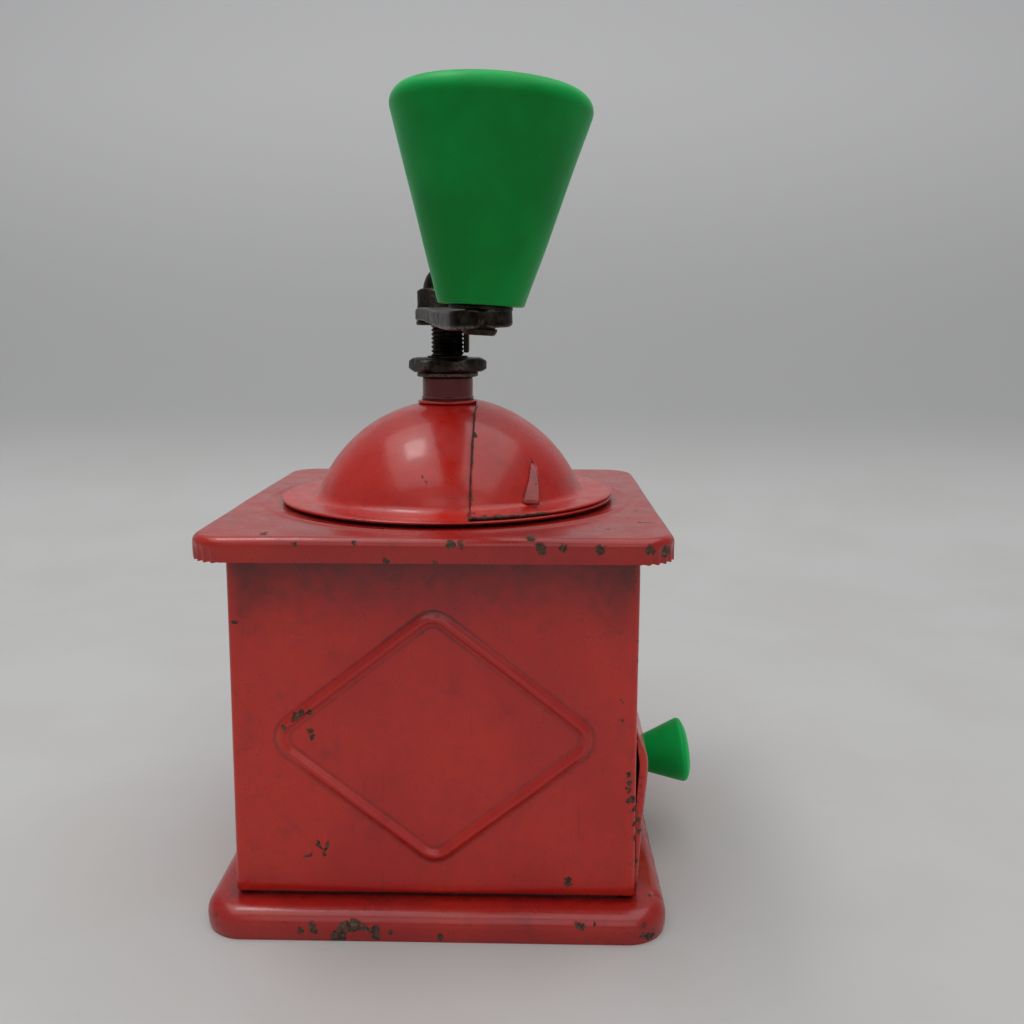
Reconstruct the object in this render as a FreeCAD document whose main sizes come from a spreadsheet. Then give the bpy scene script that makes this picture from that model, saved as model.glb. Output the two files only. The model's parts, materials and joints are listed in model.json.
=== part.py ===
"""Hand crank coffee grinder: a pressed sheet box with a drawer, a domed hopper with a
swivelling door, a cone mill hung under the top plate, and a crank with a cone shaped knob.

Origin: on the spindle axis, at the underside of the base. +Z is up, +X points to the drawer.
"""

import FreeCAD, Part

import math
import os

import Sketcher

DIMS = {
    # sheet thicknesses
    "sheet": 0.7,
    "thin_sheet": 0.6,
    # base pan, bottom plate and top plate
    "base_size": 99.4,
    "base_corner": 9.0,
    "base_height": 6.4,
    "base_roll": 3.6,
    "base_gap": 0.1,
    "plate_size": 99.6,
    "plate_corner": 8.0,
    "plate_skirt_low": 80.8,
    "plate_top": 86.6,
    "plate_roll": 1.8,
    # box
    "body_size": 85.4,
    "body_corner": 2.2,
    "body_flange": 5.0,
    "tab_width": 8.0,
    "tab_reach": 4.0,
    "tab_offset": 24.0,
    # raised rhombus on the sides, and the flatter one above the drawer
    "bead_width": 2.7,
    "bead_rise": 0.9,
    "bead_corner": 4.0,
    "rhombus_half_wide": 34.2,
    "rhombus_half_tall": 27.3,
    "rhombus_level": 41.8,
    "front_rhombus_half_tall": 14.0,
    "front_rhombus_level": 60.0,
    # hopper dome and its door
    "dome_radius": 34.0,
    "dome_centre": 76.0,
    "dome_fillet": 3.0,
    "brim_radius": 40.1,
    "brim_top": 87.6,
    "window_inner": 10.5,
    "window_outer": 27.5,
    "window_edge": 8.6,
    "door_gap": 0.3,
    "door_edge": 7.2,
    "door_ring": 8.0,
    "finger_angle": -52.0,
    "finger_low": 89.4,
    "finger_high": 99.0,
    "finger_reach": 3.4,
    # neck tube
    "neck_radius": 6.15,
    "neck_bore": 4.06,
    "neck_low": 78.5,
    "neck_top": 115.8,
    "neck_bead": 6.55,
    "neck_bead_low": 110.55,
    "neck_bead_tall": 0.6,
    # spindle and the pieces that turn with it
    "spindle_radius": 4.0,
    "spindle_low": 49.0,
    "spindle_top": 140.5,
    "spindle_head": 6.0,
    "head_tall": 2.0,
    "thread_low": 118.0,
    "thread_pitch": 1.0,
    "thread_depth": 0.55,
    "thread_turns": 21,
    "flat_width": 6.4,
    "shoulder": 128.2,
    # adjusting nut and its washer
    "seat_gap": 0.08,
    "neck_washer_radius": 7.5,
    "neck_washer_thick": 1.1,
    "nut_across": 17.0,
    "nut_tall": 3.3,
    "nut_collar": 4.7,
    "collar_tall": 0.5,
    "nut_angle": 54.0,
    # tab washer under the arm
    "tab_washer_radius": 7.6,
    "tab_washer_thick": 1.1,
    "tongue_near": 4.12,
    "tongue_thick": 1.15,
    "tongue_width": 4.6,
    "tongue_low": 121.65,
    # crank arm
    "arm_angle": 8.2,
    "crank_radius": 83.0,
    "arm_thick": 3.0,
    "arm_hub": 7.7,
    "arm_tip": 5.2,
    "arm_drop": 1.55,
    "arm_roll": 3.2,
    "arm_flat": 0.5,
    # cap nut
    "cap_across": 13.0,
    "cap_hex_tall": 4.6,
    "cap_dome": 5.8,
    # crank knob, its pin and washer
    "knob_low_radius": 7.0,
    "knob_high_radius": 15.8,
    "knob_cone_tall": 29.8,
    "knob_shoulder": 2.9,
    "knob_recess_radius": 5.0,
    "knob_recess_deep": 2.2,
    "pin_radius": 2.5,
    "pin_head": 4.2,
    "pin_head_tall": 1.5,
    "rivet_radius": 2.9,
    "rivet_tall": 1.1,
    "knob_clearance": 0.06,
    "knob_washer_radius": 5.2,
    "knob_washer_thick": 0.6,
    "knob_end_gap": 0.1,
    # mill
    "flange_radius": 31.0,
    "flange_thick": 3.0,
    "barrel_radius": 23.5,
    "barrel_bore": 20.5,
    "barrel_low": 52.0,
    "bridge_width": 9.0,
    "bridge_tall": 5.0,
    "hub_radius": 9.5,
    "hub_high": 85.0,
    "screw_circle": 26.8,
    "screw_radius": 2.0,
    "screw_head": 3.5,
    "screw_head_tall": 2.4,
    "screw_long": 8.0,
    "burr_high": 69.0,
    "burr_low_radius": 17.5,
    "burr_high_radius": 10.5,
    "burr_gap": 0.5,
    "cone_low": 51.0,
    "cone_high": 70.0,
    "outer_teeth": 24,
    "inner_teeth": 18,
    "tooth_width": 1.6,
    "tooth_deep": 0.9,
    "drive_pin_radius": 1.5,
    "drive_pin_long": 15.0,
    "spring_radius": 6.0,
    "spring_wire": 0.55,
    "spring_turns": 4,
    "spring_washer_radius": 7.5,
    "spring_washer_thick": 0.9,
    # drawer
    "opening_half_wide": 38.0,
    "opening_high": 38.6,
    "drawer_half_wide": 37.0,
    "drawer_low": 6.7,
    "drawer_high": 37.6,
    "drawer_back": -39.6,
    "drawer_face": 42.95,
    "front_back": 42.95,
    "front_half_wide": 39.4,
    "front_low": 7.0,
    "front_high": 40.4,
    "front_low_out": 44.7,
    "front_high_out": 46.3,
    "front_curl": 1.8,
    "drawer_knob_level": 20.1,
    "drawer_knob_start": 45.75,
    "drawer_knob_tilt": 6.6,
    "drawer_knob_small": 3.3,
    "drawer_knob_large": 7.8,
    "drawer_knob_cone": 12.3,
    "drawer_knob_long": 15.0,
    "drawer_knob_round": 1.2,
    "drawer_screw_radius": 1.75,
    "drawer_screw_head": 3.2,
    "drawer_screw_deep": 7.0,
    "guide_leg": 7.6,
    "guide_foot": 4.0,
    "guide_long": 78.0,
}

UP = FreeCAD.Vector(0, 0, 1)
TINY = 1e-6

doc = FreeCAD.newDocument("CoffeeGrinder")
sheet = doc.addObject("Spreadsheet::Sheet", "Dims")
for row, (name, number) in enumerate(DIMS.items(), start=1):
    sheet.set(f"A{row}", name)
    sheet.set(f"B{row}", str(number))
    sheet.setAlias(f"B{row}", name)
doc.recompute()

nodes = []


# ---------------------------------------------------------------- helpers


def value(expression):
    """The number that an expression over the sheet's cells has now."""
    return float(sheet.evalExpression(expression))


def keep(obj, label):
    """Names an object as one of the sub-parts to be written."""
    obj.Label = label
    nodes.append(obj)
    return obj


def new_body(label):
    return keep(doc.addObject("PartDesign::Body", label), label)


def datum(body, role):
    """One of a body's own origin planes or axes."""
    return next(f for f in body.Origin.OriginFeatures if f.Role == role)


def new_sketch(body, name, role="XY_Plane", level=None):
    """A sketch on one of the body's own origin planes, raised to an expression."""
    sketch = body.newObject("Sketcher::SketchObject", name)
    sketch.AttachmentSupport = [(datum(body, role), "")]
    sketch.MapMode = "FlatFace"
    if level:
        sketch.setExpression("AttachmentOffset.Base.z", level)
    return sketch


def bind_point(sketch, geometry, point, across, expression):
    """Ties one coordinate of a point to the sheet."""
    number = value(expression)
    if abs(number) < TINY:
        axis = -2 if across else -1
        sketch.addConstraint(Sketcher.Constraint("PointOnObject", geometry, point, axis))
        return
    kind = "DistanceX" if across else "DistanceY"
    index = sketch.addConstraint(Sketcher.Constraint(kind, -1, 1, geometry, point, number))
    sketch.setExpression(f"Constraints[{index}]", expression)


def outline(sketch, path):
    """A closed outline: (x, y) corners as expressions, with ("arc", x, y) between two
    corners that an arc about that centre joins the short way round."""
    corners = [(k, p) for k, p in enumerate(path) if p[0] != "arc"]
    edges = []
    for k, (place, corner) in enumerate(corners):
        following = corners[(k + 1) % len(corners)][1]
        start = FreeCAD.Vector(value(corner[0]), value(corner[1]), 0)
        end = FreeCAD.Vector(value(following[0]), value(following[1]), 0)
        arc = path[(place + 1) % len(path)]
        if arc[0] != "arc":
            line = sketch.addGeometry(Part.LineSegment(start, end), False)
            edges.append((line, 1, 2, None))
            continue
        centre = FreeCAD.Vector(value(arc[1]), value(arc[2]), 0)
        first = math.atan2(start.y - centre.y, start.x - centre.x)
        last = math.atan2(end.y - centre.y, end.x - centre.x)
        ahead = (last - first) % (2 * math.pi) < math.pi
        if not ahead:
            first, last = last, first
        around = Part.Circle(centre, UP, (start - centre).Length)
        curve = sketch.addGeometry(Part.ArcOfCircle(around, first, last), False)
        # both ends are tied, so one coordinate of the centre fixes the arc
        across = abs(start.y - end.y) > TINY
        centre_tie = (across, arc[1] if across else arc[2])
        edges.append((curve, 1 if ahead else 2, 2 if ahead else 1, centre_tie))
    for k, (edge, _, end, _) in enumerate(edges):
        following, start = edges[(k + 1) % len(edges)][:2]
        sketch.addConstraint(Sketcher.Constraint("Coincident", edge, end, following, start))
    for (edge, start, _, centre_tie), (_, corner) in zip(edges, corners):
        bind_point(sketch, edge, start, True, corner[0])
        bind_point(sketch, edge, start, False, corner[1])
        if centre_tie:
            bind_point(sketch, edge, 3, *centre_tie)


def circle(sketch, radius, across="0", along="0"):
    """A circle whose radius and centre are expressions."""
    centre = FreeCAD.Vector(value(across), value(along), 0)
    ring = sketch.addGeometry(Part.Circle(centre, UP, value(radius)), False)
    bind_point(sketch, ring, 3, True, across)
    bind_point(sketch, ring, 3, False, along)
    index = sketch.addConstraint(Sketcher.Constraint("Radius", ring, value(radius)))
    sketch.setExpression(f"Constraints[{index}]", radius)


def rounded_square(size, corner):
    """The outline of a square about the origin with round corners."""
    side, inner = f"{size}/2", f"({size}/2 - {corner})"
    back, inset = f"-{side}", f"-{inner}"
    return [
        (inset, back), (inner, back), ("arc", inner, inset),
        (side, inset), (side, inner), ("arc", inner, inner),
        (inner, side), (inset, side), ("arc", inset, inner),
        (back, inner), (back, inset), ("arc", inset, inset),
    ]


def rectangle(low_x, low_y, high_x, high_y):
    return [(low_x, low_y), (high_x, low_y), (high_x, high_y), (low_x, high_y)]


def pad(body, sketch, length, both_ways=False):
    feature = body.newObject("PartDesign::Pad", sketch.Name + "_pad")
    feature.Profile = sketch
    feature.setExpression("Length", length)
    feature.Midplane = both_ways
    doc.recompute()
    return feature


def pocket(body, sketch, length, backwards=False, both_ways=False):
    """Cuts a sketch out of the body, and stops if nothing was cut."""
    before = body.Shape.Volume
    feature = body.newObject("PartDesign::Pocket", sketch.Name + "_pocket")
    feature.Profile = sketch
    feature.setExpression("Length", length)
    feature.Reversed = backwards
    feature.Midplane = both_ways
    doc.recompute()
    if body.Shape.Volume > before - TINY:
        raise RuntimeError(f"{feature.Name} cuts nothing")
    return feature


def revolve(body, sketch):
    feature = body.newObject("PartDesign::Revolution", sketch.Name + "_turned")
    feature.Profile = sketch
    feature.ReferenceAxis = (sketch, ["V_Axis"])
    feature.Angle = 360
    doc.recompute()
    return feature


def turned(label, path):
    """A body turned about the Z axis from an outline of (radius, height) corners."""
    body = new_body(label)
    sketch = new_sketch(body, label + "_profile", "XZ_Plane")
    outline(sketch, path)
    revolve(body, sketch)
    return body


def ring(label, inner, outer, low, thick):
    """A washer: a ring about the Z axis."""
    high = f"({low} + {thick})"
    return turned(label, [(inner, low), (outer, low), (outer, high), (inner, high)])


def fillet(body, base, edges, radius):
    feature = body.newObject("PartDesign::Fillet", base.Name + "_round")
    feature.Base = (base, edges)
    feature.setExpression("Radius", radius)
    doc.recompute()
    return feature


def hollow(body, base, open_faces, thick):
    """Turns a solid block into a sheet pan, open at the given faces."""
    feature = body.newObject("PartDesign::Thickness", base.Name + "_shell")
    feature.Base = (base, open_faces)
    feature.setExpression("Value", thick)
    feature.Reversed = True
    feature.Join = 0
    doc.recompute()
    return feature


def edges_where(shape, test):
    return [f"Edge{k}" for k, edge in enumerate(shape.Edges, start=1) if test(edge)]


def faces_where(shape, test):
    return [f"Face{k}" for k, face in enumerate(shape.Faces, start=1) if test(face)]


def level_edge(level):
    """A test for the edges that lie in the horizontal plane at a height."""
    return lambda edge: all(abs(v.Point.z - level) < 1e-4 for v in edge.Vertexes) and (
        abs(edge.BoundBox.ZLength) < 1e-4
    )


def pattern(body, feature, count):
    """Repeats a feature round the Z axis."""
    polar = body.newObject("PartDesign::PolarPattern", feature.Name + "_ring")
    polar.Originals = [feature]
    polar.Axis = (datum(body, "Z_Axis"), [""])
    polar.Angle = 360
    polar.setExpression("Occurrences", count)
    body.Tip = polar
    doc.recompute()
    return polar


def groove(body, sketch):
    """Turns a sketch about the Z axis and cuts it out, and stops if nothing was cut."""
    before = body.Shape.Volume
    feature = body.newObject("PartDesign::Groove", sketch.Name + "_groove")
    feature.Profile = sketch
    feature.ReferenceAxis = (sketch, ["V_Axis"])
    feature.Angle = 360
    doc.recompute()
    if body.Shape.Volume > before - TINY:
        raise RuntimeError(f"{feature.Name} cuts nothing")
    return feature


# ---------------------------------------------------------------- box


def pressed_pan(label, size, corner, low, high, roll):
    """An upturned sheet pan: a rounded square with a rolled upper edge, open below."""
    body = new_body(label)
    sketch = new_sketch(body, label + "_outline", level=low)
    outline(sketch, rounded_square(size, corner))
    block = pad(body, sketch, f"{high} - {low}")
    rim = fillet(body, block, edges_where(block.Shape, level_edge(value(high))), roll)
    under = faces_where(rim.Shape, lambda f: abs(f.CenterOfMass.z - value(low)) < 1e-4)
    hollow(body, rim, under, "Dims.sheet")
    return body


def tab_slots(body):
    """Slots in the base pan for the box's tabs: two on the back and on each side."""
    sketch = new_sketch(body, "tab_slots", level="Dims.base_height")
    for tab in tab_places():
        low_x, low_y, high_x, high_y = tab
        outline(sketch, rectangle(low_x, low_y, high_x, high_y))
    pocket(body, sketch, "2 * Dims.sheet")


def tab_places():
    """The plan rectangles of the box's tabs, as expressions."""
    face = "(Dims.body_size/2)"
    inside = "(Dims.body_size/2 - Dims.sheet)"
    found = []
    for sign in ("", "-"):
        low = f"({sign}Dims.tab_offset - Dims.tab_width/2)"
        high = f"({sign}Dims.tab_offset + Dims.tab_width/2)"
        found.append((f"-{face}", low, f"-{inside}", high))
        found.append((low, inside, high, face))
        found.append((low, f"-{face}", high, f"-{inside}"))
    return found


def base_pan():
    body = pressed_pan(
        "base_pan", "Dims.base_size", "Dims.base_corner", "0", "Dims.base_height", "Dims.base_roll"
    )
    tab_slots(body)


def bottom_plate():
    """Closes the underside of the pan, flush with the edge that stands on the table."""
    body = new_body("bottom_plate")
    sketch = new_sketch(body, "bottom_outline")
    slack = "2 * (Dims.sheet + Dims.base_gap)"
    inner_size = f"(Dims.base_size - {slack})"
    inner_corner = "(Dims.base_corner - Dims.sheet - Dims.base_gap)"
    outline(sketch, rounded_square(inner_size, inner_corner))
    pad(body, sketch, "Dims.sheet")


def rhombus(half_wide, half_tall, level, inset):
    """A rhombus standing at a level, moved inwards by an inset, with round corners."""
    slant = f"sqrt({half_wide}^2 + {half_tall}^2)"
    wide = f"({half_wide} - {inset} * {slant} / {half_tall})"
    tall = f"({half_tall} - {inset} * {slant} / {half_wide})"
    radius = "Dims.bead_corner"
    # a corner's arc touches its two sides this far from the corner, along each side
    side_reach = f"({radius} * {wide} / {tall})"
    top_reach = f"({radius} * {tall} / {wide})"
    run = f"sqrt({wide}^2 + {tall}^2)"
    side_x = f"({wide} - {side_reach} * {wide} / {run})"
    side_z = f"({side_reach} * {tall} / {run})"
    top_x = f"({top_reach} * {wide} / {run})"
    top_z = f"({tall} - {top_reach} * {tall} / {run})"
    side_centre = f"({wide} - {radius} * {run} / {tall})"
    top_centre = f"({tall} - {radius} * {run} / {wide})"
    return [
        (side_x, f"{level} - {side_z}"), ("arc", side_centre, level),
        (side_x, f"{level} + {side_z}"), (top_x, f"{level} + {top_z}"),
        ("arc", "0", f"{level} + {top_centre}"),
        (f"-{top_x}", f"{level} + {top_z}"), (f"-{side_x}", f"{level} + {side_z}"),
        ("arc", f"-{side_centre}", level),
        (f"-{side_x}", f"{level} - {side_z}"), (f"-{top_x}", f"{level} - {top_z}"),
        ("arc", "0", f"{level} - {top_centre}"),
        (top_x, f"{level} - {top_z}"),
    ]


def bead(body, name, role, side, half_tall, level):
    """A raised rhombic bead on one face of the box."""
    sketch = new_sketch(body, name, role, side)
    wide = "Dims.rhombus_half_wide"
    outline(sketch, rhombus(wide, half_tall, level, "0"))
    outline(sketch, rhombus(wide, half_tall, level, "Dims.bead_width"))
    raised = pad(body, sketch, "Dims.bead_rise")
    if side.startswith("-"):
        raised.Reversed = True
        doc.recompute()


def body_shell():
    """The sheet box: four walls, an inward flange at the top, tabs at the bottom."""
    body = new_body("body_shell")
    size, corner, wall = "Dims.body_size", "Dims.body_corner", "Dims.sheet"
    inner = (f"({size} - 2 * {wall})", f"({corner} - {wall})")
    walls = new_sketch(body, "walls", level="Dims.base_height")
    outline(walls, rounded_square(size, corner))
    outline(walls, rounded_square(*inner))
    pad(body, walls, "Dims.plate_top - Dims.sheet - Dims.base_height")
    flange = new_sketch(body, "flange", level="Dims.plate_top - 2 * Dims.sheet")
    outline(flange, rounded_square(size, corner))
    outline(flange, rounded_square(f"({size} - 2 * Dims.body_flange)", corner))
    pad(body, flange, wall)
    opening = new_sketch(body, "opening", "YZ_Plane", f"{size}/2 + 1")
    half = "Dims.opening_half_wide"
    outline(opening, rectangle(f"-{half}", "Dims.base_height - 1", half, "Dims.opening_high"))
    pocket(body, opening, f"{wall} + 2", backwards=False)
    tabs = new_sketch(body, "tabs", level="Dims.base_height - 2 * Dims.sheet")
    for tab in tab_places():
        outline(tabs, rectangle(*tab))
    pad(body, tabs, "2 * Dims.sheet")
    feet = new_sketch(body, "tab_feet", level="Dims.base_height - 2 * Dims.sheet")
    for low_x, low_y, high_x, high_y in tab_places():
        if low_x.startswith("-(Dims.body_size"):
            outline(feet, rectangle(low_x, low_y, f"{high_x} + Dims.tab_reach", high_y))
        elif low_y.startswith("-"):
            outline(feet, rectangle(low_x, low_y, high_x, f"{high_y} + Dims.tab_reach"))
        else:
            outline(feet, rectangle(low_x, f"{low_y} - Dims.tab_reach", high_x, high_y))
    pad(body, feet, "Dims.sheet")
    tall, level = "Dims.rhombus_half_tall", "Dims.rhombus_level"
    bead(body, "near_bead", "XZ_Plane", "Dims.body_size/2", tall, level)
    bead(body, "far_bead", "XZ_Plane", "-Dims.body_size/2", tall, level)
    bead(body, "back_bead", "YZ_Plane", "-Dims.body_size/2", tall, level)
    front_tall, front_level = "Dims.front_rhombus_half_tall", "Dims.front_rhombus_level"
    bead(body, "front_bead", "YZ_Plane", "Dims.body_size/2", front_tall, front_level)


def top_plate():
    """The lid of the box, with the bean hole and three holes for the mill's screws."""
    body = pressed_pan(
        "top_plate",
        "Dims.plate_size",
        "Dims.plate_corner",
        "Dims.plate_skirt_low",
        "Dims.plate_top",
        "Dims.plate_roll",
    )
    holes = new_sketch(body, "plate_holes", level="Dims.plate_top")
    circle(holes, "Dims.barrel_bore")
    for across, along in screw_places():
        circle(holes, "(Dims.screw_radius + 0.2)", across, along)
    pocket(body, holes, "2 * Dims.sheet")


def screw_places():
    """The centres of the mill's three screws, evenly round the spindle."""
    turn = "Dims.screw_circle"
    return [
        (f"{turn} * cos({angle} * 1 deg)", f"{turn} * sin({angle} * 1 deg)")
        for angle in (60, 180, 300)
    ]


# ---------------------------------------------------------------- hopper


def on_sphere(radius, across):
    """The height of a point on the dome's sphere, at a distance from the Z axis."""
    return f"(Dims.dome_centre + sqrt({radius}^2 - {across}^2))"


def sphere_reach(radius, level):
    """The distance from the Z axis at which the dome's sphere has a height."""
    return f"sqrt({radius}^2 - ({level} - Dims.dome_centre)^2)"


def domed(label, radius, thick, hole, brim_top):
    """A spherical shell round the Z axis, with a hole on top and a flat brim below."""
    inner = f"({radius} - {thick})"
    brim_low = f"({brim_top} - {thick})"
    path = [
        (hole, on_sphere(radius, hole)),
        ("arc", "0", "Dims.dome_centre"),
        (sphere_reach(radius, brim_top), brim_top),
        ("Dims.brim_radius", brim_top),
        ("Dims.brim_radius", brim_low),
        (sphere_reach(inner, brim_low), brim_low),
        ("arc", "0", "Dims.dome_centre"),
        (hole, on_sphere(inner, hole)),
    ]
    body = new_body(label)
    sketch = new_sketch(body, label + "_profile", "XZ_Plane")
    outline(sketch, path)
    return body, revolve(body, sketch)


def crease(body, base, radius, level, size):
    """Rounds the ring where the dome's sphere meets its brim."""
    reach = value(sphere_reach(radius, level))
    height = value(level)

    def is_crease(edge):
        box = edge.BoundBox
        flat = box.ZLength < TINY and abs(box.ZMax - height) < 1e-4
        return flat and abs(edge.Curve.Radius - reach) < 1e-3

    return fillet(body, base, edges_where(base.Shape, is_crease), size)


def hopper_dome():
    """The fixed dome: its brim lies over the plate, and a window on the +X side lets
    the beans in."""
    radius, thick, top = "Dims.dome_radius", "Dims.thin_sheet", "Dims.brim_top"
    body, shell = domed("hopper_dome", radius, thick, "(Dims.neck_radius + 0.05)", top)
    shell = crease(body, shell, radius, top, "Dims.dome_fillet")
    inner, low = f"({radius} - {thick})", f"({top} - {thick})"
    crease(body, shell, inner, low, f"Dims.dome_fillet + {thick}")
    window = new_sketch(body, "window", level="Dims.dome_centre + Dims.dome_radius + 1")
    side = "Dims.window_edge"
    near, far = (f"sqrt(Dims.{around}^2 - {side}^2)" for around in ("window_inner", "window_outer"))
    outline(
        window,
        [
            (side, f"-{near}"), (side, f"-{far}"), ("arc", "0", "0"),
            (side, far), (side, near), ("arc", "0", "0"),
        ],
    )
    pocket(body, window, "Dims.dome_radius - 8")


def dome_door():
    """The swivelling half shell over the window: it turns on the neck tube, by a ring
    left round its hole, and has a finger tab at its front."""
    thick = "Dims.thin_sheet"
    radius = f"(Dims.dome_radius + Dims.door_gap + {thick})"
    top = f"(Dims.brim_top + Dims.door_gap + {thick})"
    hole = "(Dims.neck_radius + 0.12)"
    body, shell = domed("dome_door", radius, thick, hole, top)
    outer_round = f"(Dims.dome_fillet - Dims.door_gap - {thick})"
    shell = crease(body, shell, radius, top, outer_round)
    inner, low = f"({radius} - {thick})", f"({top} - {thick})"
    crease(body, shell, inner, low, "Dims.dome_fillet - Dims.door_gap")
    finger_tab(body, radius)
    cover = "(Dims.brim_radius + 2)"
    away = new_sketch(body, "open_half", level="Dims.dome_centre + Dims.dome_radius + 2")
    edge, around = "Dims.door_edge", "Dims.door_ring"
    reach = f"sqrt({around}^2 - {edge}^2)"
    outline(
        away,
        [
            (f"-{cover}", f"-{cover}"), (edge, f"-{cover}"), (edge, f"-{reach}"),
            ("arc", "0", "0"), (f"-{around}", "0"), ("arc", "0", "0"),
            (edge, reach), (edge, cover), (f"-{cover}", cover),
        ],
    )
    pocket(body, away, "Dims.dome_radius")


def finger_tab(body, radius):
    """A thin fin that stands out of the door along one of its meridians."""
    sketch = new_sketch(body, "finger_tab", "XZ_Plane")
    turn = "Dims.finger_angle"
    sketch.AttachmentOffset = FreeCAD.Placement(
        FreeCAD.Vector(), FreeCAD.Rotation(FreeCAD.Vector(0, 1, 0), value(turn))
    )
    low, high, reach = "Dims.finger_low", "Dims.finger_high", "Dims.finger_reach"
    inside = "(Dims.thin_sheet / 2)"
    outline(
        sketch,
        [
            (f"{sphere_reach(radius, low)} - {inside}", low),
            (f"{sphere_reach(radius, low)} + {reach}", f"{low} + 0.6"),
            (f"{sphere_reach(radius, high)} + 0.5", high),
            (f"{sphere_reach(radius, high)} - {inside}", high),
        ],
    )
    pad(body, sketch, "Dims.sheet", both_ways=True)


def neck_tube():
    """The spindle's bearing: it stands in the mill's bridge and comes out of the dome,
    and a bead rolled into it holds the dome and its door down."""
    outer, bore, beaded = "Dims.neck_radius", "Dims.neck_bore", "Dims.neck_bead"
    bead_low = "Dims.neck_bead_low"
    bead_high = "(Dims.neck_bead_low + Dims.neck_bead_tall)"
    turned(
        "neck_tube",
        [
            (bore, "Dims.neck_low"), (outer, "Dims.neck_low"), (outer, bead_low),
            (beaded, bead_low), (beaded, bead_high), (outer, bead_high),
            (outer, "Dims.neck_top"), (bore, "Dims.neck_top"),
        ],
    )


# ---------------------------------------------------------------- spindle and crank


def hexagon(across, turn):
    """A hexagon about the origin, by its width across flats and a corner's direction."""
    corner = f"({across} / 2 / cos(30 * 1 deg))"
    return [
        (
            f"{corner} * cos(({turn} + {60 * k}) * 1 deg)",
            f"{corner} * sin(({turn} + {60 * k}) * 1 deg)",
        )
        for k in range(6)
    ]


def bevelled(body, name, across, level, down):
    """Cuts the corners of a hexagon back at 30 degrees, at its upper or lower face."""
    flat, corner = f"({across} / 2)", f"({across} / 2 / cos(30 * 1 deg) + 0.5)"
    deep = f"(({corner} - {flat}) * tan(30 * 1 deg))"
    sign = "-" if down else "+"
    sketch = new_sketch(body, name, "XZ_Plane")
    outline(sketch, [(flat, level), (corner, level), (corner, f"{level} {sign} {deep}")])
    groove(body, sketch)


WASHER_LOW = "(Dims.neck_top + Dims.seat_gap)"
NUT_LOW = "(Dims.neck_top + Dims.neck_washer_thick + 2 * Dims.seat_gap)"
NUT_HIGH = f"({NUT_LOW} + Dims.nut_tall)"
ARM_LOW = "(Dims.shoulder + Dims.tab_washer_thick)"
ARM_HIGH = f"({ARM_LOW} + Dims.arm_thick)"


def neck_washer():
    ring(
        "neck_washer", "Dims.neck_bore", "Dims.neck_washer_radius", WASHER_LOW,
        "Dims.neck_washer_thick",
    )


def adjusting_nut():
    """The hexagon nut that sets the grind: it lifts the spindle and the burr on it."""
    body = new_body("adjusting_nut")
    block = new_sketch(body, "nut_hexagon", level=NUT_LOW)
    outline(block, hexagon("Dims.nut_across", "180 + Dims.nut_angle"))
    circle(block, "Dims.neck_bore")
    pad(body, block, "Dims.nut_tall")
    collar = new_sketch(body, "nut_collar", level=NUT_HIGH)
    circle(collar, "Dims.nut_collar")
    circle(collar, "Dims.neck_bore")
    pad(body, collar, "Dims.collar_tall")
    bevelled(body, "nut_upper_bevel", "Dims.nut_across", NUT_HIGH, down=True)
    bevelled(body, "nut_lower_bevel", "Dims.nut_across", NUT_LOW, down=False)


def flats(body, name, level, length):
    """Cuts the two flats on which the arm sits, above a level."""
    sketch = new_sketch(body, name, level=level)
    flat, wide = "(Dims.flat_width / 2)", "(Dims.spindle_radius + 1)"
    outline(sketch, rectangle(f"-{wide}", flat, wide, wide))
    outline(sketch, rectangle(f"-{wide}", f"-{wide}", wide, f"-{flat}"))
    pocket(body, sketch, length, backwards=True)


def spindle():
    """The shaft: a head under the inner burr, a thread for the adjusting nut, and two
    flats for the arm under the cap nut's thread."""
    radius, top = "Dims.spindle_radius", "Dims.spindle_top"
    head_high = "(Dims.spindle_low + Dims.head_tall)"
    body = turned(
        "spindle",
        [
            ("0", "Dims.spindle_low"), ("Dims.spindle_head", "Dims.spindle_low"),
            ("Dims.spindle_head", head_high), (radius, head_high),
            (radius, f"{top} - 0.8"), (f"{radius} - 0.8", top), ("0", top),
        ],
    )
    pin_hole = new_sketch(body, "pin_hole", "XZ_Plane")
    circle(pin_hole, "Dims.drive_pin_radius", "0", DRIVE_PIN_LEVEL)
    thread = new_sketch(body, "thread", "XZ_Plane")
    half = "(0.45 * Dims.thread_pitch)"
    level = "Dims.thread_low"
    outline(
        thread,
        [
            (f"{radius} + 0.1", f"{level} - {half}"),
            (f"{radius} + 0.1", f"{level} + {half}"),
            (f"{radius} - Dims.thread_depth", level),
        ],
    )
    pocket(body, pin_hole, "4 * Dims.spindle_radius", both_ways=True)
    first = groove(body, thread)
    turns = body.newObject("PartDesign::LinearPattern", "thread_turns")
    turns.Originals = [first]
    turns.Direction = (datum(body, "Z_Axis"), [""])
    turns.setExpression("Length", "Dims.thread_pitch * (Dims.thread_turns - 1)")
    turns.setExpression("Occurrences", "Dims.thread_turns")
    body.Tip = turns
    doc.recompute()
    flats(body, "arm_flats", "Dims.shoulder", f"{top} - Dims.shoulder + 1")


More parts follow.
